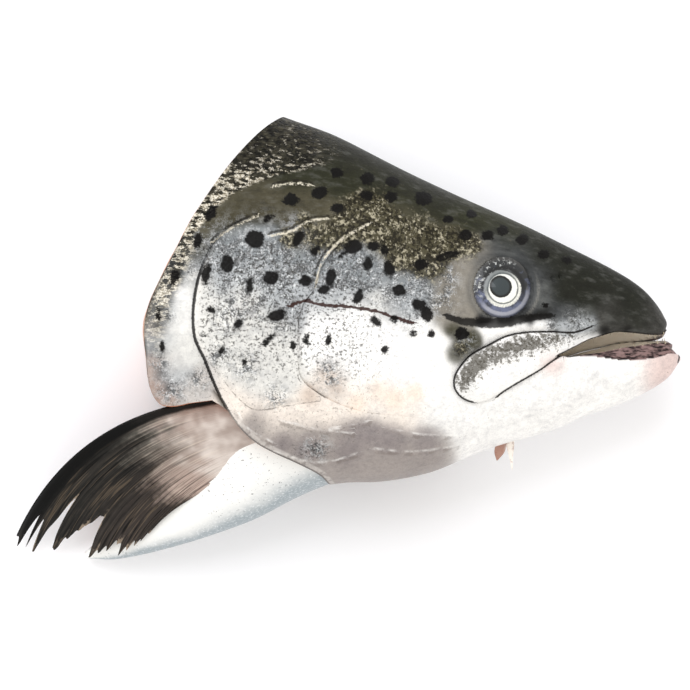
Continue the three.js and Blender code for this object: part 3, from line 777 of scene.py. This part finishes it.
def spotDistance(x, y):  # below 0 inside a spot, in millimetres
    nearest = np.full(x.shape, 9.0)
    for sx, sy, long, wide, turn in spots:
        c, s = math.cos(math.radians(turn)), math.sin(math.radians(turn))
        dx, dy = (x - sx) * c + (y - sy) * s, (y - sy) * c - (x - sx) * s
        nearest = np.minimum(nearest, (np.hypot(dx / long, dy / wide) - 1) * min(long, wide))
    return nearest


def paintSkin(piece):
    p = pointsOf(piece)
    x, y, z = p.T
    widest = widestLine(x)
    reach = reachFrom(x, y > widest)
    level = (np.abs(y - widest) / reach) ** form["depthPower"]
    level += (np.abs(z - midPlane) / np.maximum(halfWidth(x), 0.5)) ** form["widthPower"]
    depth = (1 - np.clip(level, 0, 1) ** 0.46) * np.minimum(reach, halfWidth(x))
    knife = lineDistance(np.vstack([knifeLine, collarLine]), x, y, 12)
    hx, hy, rx, ry, rz = cut["hollow"]
    hollow = ((x - hx) / rx) ** 2 + ((y - hy) / ry) ** 2 + ((z - midPlane) / rz) ** 2 < 1.25
    tone = colourAt(x, y)
    piece.data.attributes.new("tone", "FLOAT_COLOR", "POINT")
    opaque = np.column_stack([tone, np.ones(len(x))]).astype(np.float32)
    piece.data.attributes["tone"].data.foreach_set("color", opaque.ravel())
    mark(piece, "spot", spotDistance(x, y))
    for label, group in drawnLines.items():
        away = nearestLine(group, x, y)
        mark(piece, label, away / (1 + 1.3 * bellCurve(x - 52, 12) * (label == "underEye")))
        mark(piece, label + "Near", np.abs(away))
    mark(piece, "inCover", depthIn(coverOutline, x, y, 9))
    for label, (places, flatness) in mottles.items():
        near = sum(bellCurve(np.hypot(x - mx, (y - my) * flatness), size) for mx, my, size in places)
        mark(piece, label, np.clip(near, 0, 1))
    scaly = insideOf(np.vstack([scalyLine, [[-90, 90], [-90, 27]]]), x, y) & (y > 26)
    scaly = ease(lineDistance(scalyLine, x, y, 6), 0, 1.5) * scaly * (1 - 0.75 * ease(x, -22, 2))
    strip = 0.75 * (1 - insideOf(coverOutline, x, y)) * (x < -46) * (y < 34) * ease(9 - knife, 0, 6)
    mark(piece, "scaly", np.maximum(scaly, strip * ease(y, -26, 22)))
    pepper = ease(-x, -30, 0) * ease(y, -30, -4) * ease(46 - y, 0, 18) * ease(x, -54, -48)
    streak = lineDistance(streakLine, x, y, 9)
    throatPepper = 0.5 * ease(-y, 8, 14) * ease(-x, -22, -4) * ease(y, -44, -30)
    patchPepper = 0.9 * bellCurve(np.hypot((x + 12) / 2.2, y + 39.5), 5)
    lipPepper = 1.2 * bellCurve(np.hypot((x - 81) / 2.4, y - 5), 4)
    streakPepper = 1.3 * bellCurve(streak, 3.4)
    mark(piece, "pepper", np.max([pepper, throatPepper, patchPepper, lipPepper, streakPepper], 0))
    mark(piece, "streak", bellCurve(streak, 4.4) * insideOf(maxillaOutline, x, y)
         * (1 - 0.5 * ease(x, 60, 80)))
    mark(piece, "flesh", ease(depth, 0.7, 1.1) * (knife < 3.4) * (1.0 - hollow))
    mark(piece, "hollow", hollow * ease(depth, 2, 3))
    rim = eyeDistance(x, y)
    lip = heightAlong(upperLip)(x)
    outerGum = (x > 79) & (y < lip - 0.4) & (y > through(*jawGum[::6])(x))
    innerGum = (x > mouth["rear"]) & (y > -14) & (y < 9) & (depth > 3.2)
    mark(piece, "gum", (outerGum | innerGum) * 1.0)
    mark(piece, "lining", ease(depth, 3.2, 4.6))
    mark(piece, "orbit", bellCurve(rim - 11.4, 1.5) + 0.5 * bellCurve(rim - 13.6, 0.7) * (x > eye["x"] + 4))
    mark(piece, "orbitPale", bellCurve(rim - 12.5, 0.5) * ease(x, eye["x"] + 2, eye["x"] + 9)
         * ease(24 - y, 0, 8)
         + 0.7 * bellCurve(rim - 11.2, 0.5) * ease(eye["x"] - x, 0, 8))
    mark(piece, "depth", depth)


# shader maths as plain expressions

class Value:
    def __init__(self, paint, socket):
        self.paint, self.socket = paint, socket

    def maths(self, operation, *others, swapped=False):
        parts = [self, *others]
        return self.paint.add("ShaderNodeMath", {"operation": operation}, parts[::-1] if swapped else parts)

    def __add__(self, other):
        return self.maths("ADD", other)

    def __radd__(self, other):
        return self.maths("ADD", other)

    def __sub__(self, other):
        return self.maths("SUBTRACT", other)

    def __rsub__(self, other):
        return self.maths("SUBTRACT", other, swapped=True)

    def __mul__(self, other):
        return self.maths("MULTIPLY", other)

    def __rmul__(self, other):
        return self.maths("MULTIPLY", other)

    def __pow__(self, other):
        return self.maths("POWER", other)

    def above(self, other):
        return self.maths("MAXIMUM", other)

    def below(self, other):
        return self.maths("MINIMUM", other)

    def step(self, low, high):  # 0 below low, 1 above high, smooth between
        settings = {"interpolation_type": "SMOOTHSTEP"}
        return self.paint.add("ShaderNodeMapRange", settings, [self, low, high, 0, 1])


class Paint:  # one material and its nodes
    def __init__(self, name, **sockets):
        self.material = bpy.data.materials.new(name)
        self.material.use_nodes = True
        self.nodes, self.links = self.material.node_tree.nodes, self.material.node_tree.links
        self.shader = self.nodes["Principled BSDF"]
        for label, value in sockets.items():
            self.shader.inputs[label.replace("_", " ")].default_value = value

    def add(self, kind, settings=None, inputs=(), output=0):
        node = self.nodes.new(kind)
        for label, value in (settings or {}).items():
            setattr(node, label, value)
        for key, value in (inputs.items() if isinstance(inputs, dict) else enumerate(inputs)):
            self.plug(node.inputs[key], value)
        return Value(self, node.outputs[output])

    def distance(self, value):  # how far a value lies from zero
        return self.add("ShaderNodeMath", {"operation": "ABSOLUTE"}, [value])

    def plug(self, socket, value):
        if isinstance(value, Value):
            self.links.new(value.socket, socket)
        elif isinstance(value, tuple) and len(value) == 3 and len(socket.default_value) == 4:
            socket.default_value = (*value, 1)
        else:
            socket.default_value = value

    def place(self, stretch=(1, 1, 1), turn=0):  # Object coordinates in millimetres
        at = self.add("ShaderNodeTexCoord", output="Object")
        mapping = {"Vector": at, "Rotation": (0, 0, math.radians(turn)),
                   "Scale": tuple(1000 * k for k in stretch)}
        return self.add("ShaderNodeMapping", {}, mapping)

    def noise(self, at, size, detail=3.0, rough=0.55):
        return self.add("ShaderNodeTexNoise", {}, {"Vector": at, "Scale": 1 / size, "Detail": detail,
                                                   "Roughness": rough})

    def cellEdges(self, at, size):
        settings = {"feature": "DISTANCE_TO_EDGE"}
        return self.add("ShaderNodeTexVoronoi", settings, {"Vector": at, "Scale": 1 / size}, "Distance")

    def attribute(self, label, colour=False):
        output = "Color" if colour else "Fac"
        return self.add("ShaderNodeAttribute", {"attribute_name": label}, output=output)

    def blend(self, share, first, second, how="MIX"):
        return self.add("ShaderNodeMix", {"data_type": "RGBA", "blend_type": how},
                        {"Factor": share, 6: first, 7: second}, output=2)

    def finish(self, colour, roughness=None, bump=None, depth=0.1, coat=None):
        self.plug(self.shader.inputs["Base Color"], colour)
        if roughness is not None:
            self.plug(self.shader.inputs["Roughness"], roughness)
        if coat is not None:
            self.plug(self.shader.inputs["Coat Weight"], coat)
        if bump is not None:
            relief = {"Strength": 1.0, "Distance": depth * mm, "Height": bump}
            normal = self.add("ShaderNodeBump", {}, relief)
            self.plug(self.shader.inputs["Normal"], normal)
        return self.material


wet = {"Coat_Weight": 0.03, "Coat_Roughness": 0.15, "Roughness": 0.4, "Specular_IOR_Level": 0.06}


def lineOf(p, label, half, wobble, soft=0.22):  # 1 on the line, 0 off it
    away = p.distance(p.attribute(label) + wobble)
    return (1 - away.step(half, half + soft)) * (1 - p.attribute(label + "Near").step(1.6, 2.4))


def skinPaint():
    p = Paint("wetSkin", **wet)
    at = p.place()
    cloud, mottle = p.noise(at, 9), p.noise(at, 1.9, 4)
    grain, fine = p.noise(at, 0.62, 3), p.noise(at, 0.34, 2)
    blotch = p.noise(at, 3.6, 5, 0.62)
    tone = p.attribute("tone", colour=True)
    uneven = (cloud - 0.5) * 0.6 + (mottle - 0.5) * 0.9 + (grain - 0.5) * 0.7 + 0.5
    colour = p.blend(uneven, p.blend(1.0, tone, (0.62, 0.62, 0.64), "MULTIPLY"),
                     p.blend(1.0, tone, (1.18, 1.17, 1.15), "MULTIPLY"))
    # painted sheen: stretched noise lightens the skin a little in streaks, and where it is low it darkens
    # the dark tones as mottling
    sheenAndDarkMottle = p.noise(p.place((0.35, 1, 1), 28), 2.6, 4, 0.6)
    colour = p.blend(sheenAndDarkMottle.step(0.5, 0.72) * 0.1, colour, linear(160, 160, 156))
    bright = p.add("ShaderNodeRGBToBW", {}, [tone])
    colour = p.blend(sheenAndDarkMottle.step(0.5, 0.34) * bright.step(0.3, 0.05) * 0.4, colour, linear(28, 27, 24))
    # silver skin is grey and white like granite
    granite = p.attribute("granite")
    dusk = (blotch * 0.6 + grain * 0.45 + fine * 0.3).step(0.61, 0.76)
    gleam = (blotch * 0.5 + mottle * 0.3 + fine * 0.4).step(0.575, 0.68)
    colour = p.blend((granite * 1.2).below(1.0) * gleam * 0.9, colour, linear(236, 238, 240))
    colour = p.blend((granite * 1.2).below(1.0) * dusk * 0.88, colour, linear(54, 55, 56))
    orbit = p.attribute("orbit").below(1.0) * (mottle * 0.8 + 0.4).below(1.0)
    colour = p.blend(orbit * 0.6, colour, linear(58, 60, 62))
    colour = p.blend(p.attribute("orbitPale") * grain.step(0.2, 0.6) * 0.45, colour, linear(150, 148, 142))
    pepper = p.attribute("pepper")
    fleck = p.noise(at, 1.0, 4, 0.72)
    colour = p.blend((fleck + pepper * 0.09).step(0.61, 0.68) * pepper.below(1.0) * 0.8, colour,
                     linear(50, 48, 45))
    streak = p.attribute("streak")
    colour = p.blend((streak + (mottle - 0.5) * 2.2 + (grain - 0.5) * 1.4).step(0.36, 0.86) * 0.86, colour,
                     linear(76, 72, 63))
    # bronze mosaic
    bronze = p.attribute("bronze")
    patch = p.noise(at, 5, 3, 0.6)
    pale = (p.noise(at, 1.15, 4, 0.7) + (patch - 0.5) * 0.5).step(0.52, 0.6)
    dark = (p.noise(p.place((1.1, 0.9, 1), 20), 1.2, 4, 0.66) - (patch - 0.5) * 0.3).step(0.475, 0.55)
    mosaic = p.blend(pale, linear(70, 66, 50), linear(166, 159, 138))
    mosaic = p.blend(dark * 0.94, mosaic, linear(22, 19, 13))
    colour = p.blend((bronze + (mottle - 0.5) * 1.1 + (patch - 0.5) * 0.9).step(0.26, 0.86) * 0.92, colour,
                     mosaic)
    # scales of the nape and shoulder: pale flecks in slanting rows
    scaly = p.attribute("scaly")
    lay = p.place((0.62, 1.35, 1), 41)
    rows = p.noise(lay, 1.65, 3, 0.6)
    height = p.add("ShaderNodeSeparateXYZ", {}, [at], output="Y")
    low = (72 - height + (cloud - 0.5) * 24).step(2, 26)
    scaleEdge = p.cellEdges(lay, 1.5).step(0.02, 0.3)
    shine = (rows + (low - 1) * 0.13 + (patch - 0.5) * 0.3 + (fine - 0.5) * 0.25).step(0.46, 0.54)
    dimScale = p.blend(mottle.step(0.4, 0.6), linear(22, 21, 17), linear(64, 61, 50))
    scale = p.blend(scaleEdge * 0.5 + 0.5, linear(14, 13, 11), dimScale)
    litScale = p.blend(grain.step(0.38, 0.62), linear(148, 138, 118), linear(238, 231, 216))
    scale = p.blend(shine * (low * 0.7 + 0.3), scale, litScale)
    colour = p.blend((scaly + (mottle - 0.5) * 0.5 * scaly).step(0.1, 0.85) * 0.93, colour, scale)
    # pale ridges and folds
    wobble = (grain - 0.5) * 0.8 + (mottle - 0.5) * 1.2
    ridge = lineOf(p, "pale", 0.16, wobble, 0.5) * (blotch * 0.5 + grain * 0.55).step(0.44, 0.56)
    colour = p.blend(ridge * 0.85, colour, linear(218, 210, 192))
    under = lineOf(p, "pale", 0.2, wobble - 1.1, 0.4) * mottle.step(0.38, 0.52)
    colour = p.blend(under * 0.85, colour, linear(30, 27, 22))
    # painted highlight: a pale line along each throat fold, with painted shade a little below it
    fold = lineOf(p, "fold", 0.05, wobble * 0.35, 0.6) * blotch.step(0.38, 0.66)
    colour = p.blend(fold * 0.42, colour, linear(250, 248, 245))
    foldShade = lineOf(p, "fold", 0.1, wobble * 1.4 + 1.1, 0.9) * blotch.step(0.46, 0.6)
    colour = p.blend(foldShade * 0.45, colour, linear(112, 102, 96))
    # the gill cover's pale rim with a second fine line inside it
    inCover = p.attribute("inCover")
    nearEdge = lineOf(p, "edge", 3.2, 0.0)
    rim = inCover.step(0.2, 0.6) * (1 - (inCover + wobble * 0.5).step(2.2, 3.0)) * nearEdge
    rearward = (height + (mottle - 0.5) * 8).step(30, 22)
    colour = p.blend(rim * rearward * mottle.step(0.3, 0.6) * 0.4, colour, linear(222, 217, 212))
    inner = 1 - p.distance(inCover + wobble * 0.5 - 2.4).step(0.05, 0.35)
    colour = p.blend(inner * nearEdge * rearward * mottle.step(0.42, 0.55) * 0.8, colour,
                     linear(52, 46, 42))
    # dark lines
    tight = (grain - 0.5) * 0.5
    colour = p.blend(lineOf(p, "crease", 0.22, tight) * 0.95, colour, linear(24, 20, 19))
    colour = p.blend(lineOf(p, "seamLine", 0.08, tight * 1.4) * blotch.step(0.4, 0.56) * 0.6, colour,
                     linear(62, 54, 50))
    colour = p.blend(lineOf(p, "underEye", 0.62, (mottle - 0.5) * 1.3 + tight, 0.5) * 0.93, colour,
                     linear(20, 19, 18))
    # painted shadow: a near-black line along the gill cover's rear edge, for the gap where the cover stands
    # proud of the shoulder; fainter high up and towards the throat
    throatward = height.step(-22, -31)
    colour = p.blend(lineOf(p, "edge", 0.4, tight * 1.8, 0.35) * (rearward * 0.6 + 0.34)
                     * (1 - throatward * 0.45),
                     colour, linear(18, 17, 17))
    colour = p.blend(lineOf(p, "vein", 0.42, (mottle - 0.5) * 2.2 + tight, 0.3) * 0.95, colour,
                     linear(50, 26, 21))
    spot = 1 - (p.attribute("spot") + (grain - 0.5) * 1.3 + (mottle - 0.5) * 1.9).step(-0.35, 0.4)
    colour = p.blend(spot * 0.98, colour, p.blend(grain, linear(4, 4, 4), linear(20, 18, 17)))
    # the flesh, the hollow, the mouth
    colour = p.blend(p.attribute("flesh"), colour, fleshColour(p, at, mottle))
    colour = p.blend(p.attribute("hollow"), colour,
                     p.blend(mottle, linear(96, 34, 26), linear(150, 92, 78)))
    ropes = p.noise(p.place((0.45, 1.5, 1), -24), 1.5, 3)
    lining = p.blend(p.attribute("lining"), p.blend(ropes.step(0.38, 0.62), linear(34, 25, 27),
                                                    linear(132, 108, 106)),
                     p.blend(mottle, linear(250, 240, 226), linear(254, 250, 242)))
    colour = p.blend(p.attribute("gum"), colour, lining)
    bump = mottle * 0.5 + grain * 0.35 + scaleEdge * scaly * 1.2
    bump = bump + pale * bronze * 0.3 + spot * 0.2 + blotch * 0.6
    return p.finish(colour, 0.36 + mottle * 0.2, bump, 0.3,
                    coat=bright.step(0.1, 0.6) * (1 - spot) * 0.16 + 0.01)


def fleshColour(p, at, mottle):
    depth = p.attribute("depth")
    rings = p.add("ShaderNodeMath", {"operation": "SINE"}, [depth * 1.25 + p.noise(at, 14, 2) * 9])
    seam = rings.step(0.86, 0.99)
    meat = p.blend(mottle, linear(192, 116, 86), linear(218, 154, 122))
    meat = p.blend(seam * 0.7, meat, linear(240, 208, 184))
    spine = p.add("ShaderNodeVectorMath", {"operation": "DISTANCE"},
                  {0: at, 1: (-61.5, cut["spineY"], midPlane)},
                  "Value")
    meat = p.blend(1 - spine.step(5.2, 5.7), meat, linear(226, 206, 182))
    meat = p.blend(1 - spine.step(3.2, 3.8), meat, linear(176, 128, 104))
    meat = p.blend(1 - (depth + mottle * 1.2).step(1.9, 3.4), meat, linear(176, 146, 126))
    return p.blend(1 - depth.step(1.1, 1.5), meat, linear(64, 58, 50))


def eyePaint():
    p = Paint("eye", Coat_Weight=0.5, Coat_Roughness=0.04, Roughness=0.3, Specular_IOR_Level=0.2)
    at = p.place()
    part = p.add("ShaderNodeSeparateXYZ", {}, [at])
    x = part - eye["x"]
    y = Value(p, part.socket.node.outputs["Y"]) - eye["y"]
    grain = p.noise(at, 0.6, 3)
    soft = p.noise(at, 2.6, 3)
    # the pupil narrows to a point at the front and below
    px, py = x + 0.9, y - 0.7
    r = (px * px + py * py) ** 0.5
    ring = (x * x + y * y) ** 0.5
    rough = (grain - 0.5) * 0.7 + (soft - 0.5) * 0.5
    wide = r - (px * 0.8 - py * 0.6).above(0.0) * 0.1 + rough * 0.6
    lowFront = (x * 0.6 - y * 0.8 + rough * 2).step(-4.5, 3)
    skin = p.blend((soft * 1.3 + grain * 0.3 + y * 0.035).step(0.45, 0.95), linear(96, 102, 126),
                   linear(34, 36, 38))
    skin = p.blend(p.noise(at, 1.5, 5, 0.72).step(0.53, 0.6) * (y - x).step(2, 8), skin,
                   linear(196, 198, 196))
    crescent = (ring + rough).step(7.9, 8.5) * (1 - ring.step(9.2, 9.9)) * (0 - y + x * 0.3).step(1, 6)
    skin = p.blend(crescent * 0.65, skin, linear(176, 176, 184))
    skin = p.blend(ring.step(9.0, 10.3) * 0.7, skin, linear(62, 61, 60))
    iris = p.blend(lowFront, linear(112, 116, 116), linear(236, 235, 226))
    iris = p.blend(grain.step(0.35, 0.65) * 0.35, iris, linear(120, 124, 124))
    darkRing = (ring + rough * 0.7).step(4.9, 5.2) * (1 - (ring + rough * 0.7).step(5.35, 5.7))
    iris = p.blend(darkRing * 0.85, iris, linear(70, 76, 78))
    iris = p.blend((1 - (ring + rough * 0.5).step(4.75, 5.05)) * 0.8, iris, linear(236, 236, 230))
    rimmed = ring + rough * 0.9 + (y * 0.8 + x * 0.5).step(3, 7) * 0.7
    colour = p.blend(rimmed.step(eye["iris"] - 0.5, eye["iris"]), iris, skin)
    shade = (ring + rough * 1.4).step(6.2, 6.9) * (1 - ring.step(7.4, 8.4))
    shade = shade * (x * 0.5 + y * 0.8 + rough * 3).step(-4, 3)
    colour = p.blend(shade * 0.9, colour, linear(14, 15, 18))
    colour = p.blend(1 - wide.step(eye["pupil"] - 0.25, eye["pupil"]), colour, linear(10, 11, 12))
    colour = p.blend(1 - wide.step(2.6, 3.3), colour, linear(46, 54, 57))
    return p.finish(colour, 0.2 + soft * 0.15, grain * ring.step(6.8, 8), 0.05)


def finPaint():
    p = Paint("fin", **wet)
    at = p.place()
    across, along = p.attribute("across"), p.attribute("along")
    soft, mottle = p.noise(at, 6, 3), p.noise(at, 2.2, 4, 0.6)

    def fibres(count, length, seed, low, high):  # thin streaks that run along the rays
        ray = p.add("ShaderNodeCombineXYZ", {}, [across * count, along * length, seed])
        return p.noise(ray, 1.0, 3).step(low, high)

    # fleshy base: pale pink, with painted shade darkening it towards the leading edge
    flesh = p.blend((p.noise(at, 10, 2) + (across - 0.5) * 0.3).step(0.3, 0.7), linear(164, 148, 140),
                    linear(218, 207, 200))
    middle = p.blend((across + (soft - 0.5) * 0.3).step(0.2, 0.8), linear(88, 86, 80),
                     linear(178, 157, 147))
    colour = p.blend((along + (soft - 0.5) * 0.25).step(0.2, 0.42), flesh, middle)
    colour = p.blend(fibres(60, 2.4, 0.0, 0.5, 0.62) * along.step(0.1, 0.3) * 0.32, colour,
                     linear(226, 210, 194))
    colour = p.blend(fibres(44, 1.6, 3.0, 0.5, 0.62) * along.step(0.16, 0.4) * 0.6, colour,
                     linear(48, 42, 38))
    dusk = (along * 1.36 - across * 0.3 + (soft - 0.5) * 0.3 + (mottle - 0.5) * 0.16).step(0.37, 0.69)
    colour = p.blend(dusk * 0.93, colour, p.blend(soft, linear(9, 9, 9), linear(34, 32, 30)))
    colour = p.blend(fibres(70, 3.2, 6.0, 0.54, 0.64) * along.step(0.4, 0.7) * 0.5, colour,
                     linear(108, 94, 78))
    colour = p.blend(fibres(52, 2.6, 9.0, 0.56, 0.64) * along.step(0.3, 0.6) * 0.85, colour,
                     linear(8, 8, 8))
    tipFlesh = (along + (mottle - 0.5) * 0.12).step(0.955, 0.985) * fibres(22, 1, 12.0, 0.5, 0.58)
    colour = p.blend(tipFlesh * 0.6, colour, linear(176, 158, 138))
    leading = 1 - (across + (soft - 0.5) * 0.02 + (mottle - 0.5) * 0.02).step(0.065, 0.115)
    colour = p.blend(leading * 0.97, colour, linear(9, 9, 9))
    bump = fibres(60, 2.4, 0.0, 0.3, 0.7) * 0.5 + soft * 0.5 + mottle * 0.4
    return p.finish(colour, 0.36 + soft * 0.2, bump, 0.16)


def flapPaint():
    p = Paint("belly", **wet)
    at = p.place()
    soft, grain = p.noise(at, 12, 3), p.noise(at, 0.9, 4, 0.7)
    skin = p.blend(soft, linear(236, 236, 234), linear(252, 251, 249))
    specks = p.noise(at, 1.0, 3, 0.6).step(0.63, 0.67) * p.noise(at, 9, 2).step(0.42, 0.58)
    skin = p.blend(specks * 0.75, skin, linear(84, 84, 86))
    # painted shade: the skin turns blue-grey towards the keel, on the flap's lower edge
    keel = (p.attribute("keel") + (soft - 0.5) * 0.5).step(0.12, 0.8)
    skin = p.blend(keel * 0.95, skin, p.blend(grain.step(0.5, 0.66), linear(152, 162, 168),
                                              linear(204, 210, 214)))
    inner = p.attribute("inner")
    meat = p.blend(p.noise(at, 3, 3), linear(214, 150, 122), linear(236, 190, 166))
    return p.finish(p.blend(inner, skin, meat), 0.3 + soft * 0.15, grain * 0.4 + soft, 0.15)


def tagPaint():
    p = Paint("tornFlesh", **wet)
    at = p.place()
    x = p.add("ShaderNodeSeparateXYZ", {}, [at])
    colour = p.blend(x.step(tag["x"] - 1, tag["x"] + 1.2), linear(176, 138, 124), linear(244, 236, 228))
    grain = p.noise(at, 1.1, 3)
    colour = p.blend(grain.step(0.5, 0.75) * 0.5, colour, linear(130, 84, 74))
    return p.finish(colour, 0.3 + grain * 0.2, grain, 0.2)


def toothPaint():
    p = Paint("tooth", **wet)
    at = p.place()
    grain = p.noise(at, 0.8, 2)
    colour = p.blend(grain, linear(128, 114, 96), linear(196, 184, 162))
    return p.finish(colour, 0.25 + grain * 0.1, grain, 0.03)


# putting it together

def dress(piece, material, node, smoothAngle=40):
    piece.data.materials.clear()
    piece.data.materials.append(material)
    bpy.ops.object.select_all(action="DESELECT")
    piece.select_set(True)
    bpy.context.view_layer.objects.active = piece
    bpy.ops.object.shade_smooth_by_angle(angle=math.radians(smoothAngle))
    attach(piece, "root")
    if node:
        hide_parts(node)


skin = skinPaint()
for node, piece in makeSkin().items():
    dress(piece, skin, node)
print("skin pieces dressed")

rightEye = makeEye()
eyes = {"right_eye": rightEye, "left_eye": mirrored(rightEye, "leftEye")}
eyeMaterial = eyePaint()
for node, piece in eyes.items():
    movePoints(piece, settled(pointsOf(piece)))
    dress(piece, eyeMaterial, node)

fin = finPaint()
for side, shape in finShapes.items():
    dress(makeFin(side + "PectoralFin", shape), fin, side + "_pectoral_fin", 60)
dress(makeFlap(), flapPaint(), "belly_flap", 85)
dress(makeTag(), tagPaint(), "throat_tag")
tooth = toothPaint()
dress(makeTeeth("upperTeeth", teeth["upperFrom"], teeth["upperTo"], upperLip, -1), tooth, None)
dress(makeTeeth("lowerTeeth", teeth["lowerFrom"], teeth["lowerTo"], lowerLip, 1), tooth, None)
print("eyes, fins, flap and teeth dressed")


# the stage

def makeStage():
    bpy.ops.object.select_all(action="DESELECT")
    bpy.ops.mesh.primitive_plane_add(size=8, location=(0, 0, 0))
    floor = bpy.context.object
    floor.name = "floor"
    p = Paint("paleFloor", Roughness=0.85, Specular_IOR_Level=0.1)
    floor.data.materials.append(p.finish(linear(249, 249, 252)))
    world = bpy.data.worlds.new("studio")
    bpy.context.scene.world = world
    world.use_nodes = True
    world.node_tree.nodes["Background"].inputs["Color"].default_value = lights["warmth"]
    world.node_tree.nodes["Background"].inputs["Strength"].default_value = lights["sky"]
    for name, place, size, energy in lights["areas"]:
        bpy.ops.object.light_add(type="AREA", location=place)
        lamp = bpy.context.object
        lamp.name = name
        lamp.data.size = size
        lamp.data.energy = energy
        lamp.data.color = lights["tint"]
        lamp.rotation_euler = (-lamp.location).to_track_quat("-Z", "Y").to_euler()


lights = {"sky": 1.08, "warmth": (1, 0.985, 0.95, 1), "areas": [("key", (-0.3, 0.85, 1.15), 1.2, 12)],
          "tint": (0.97, 0.99, 1.04)}
camera = {"middle": (-0.0002, -0.0026, midPlane * mm), "distance": 2.0, "shown": 0.2415, "sensor": 36}


def makeCamera():
    x, y, z = camera["middle"]
    bpy.ops.object.camera_add(location=(x, y, z + camera["distance"]), rotation=(0, 0, 0))
    view = bpy.context.object
    view.data.sensor_width = camera["sensor"]
    view.data.lens = camera["sensor"] * camera["distance"] / camera["shown"]
    view.data.clip_end = 50
    bpy.context.scene.camera = view


makeStage()
makeCamera()
bpy.context.scene.view_settings.view_transform = "Standard"
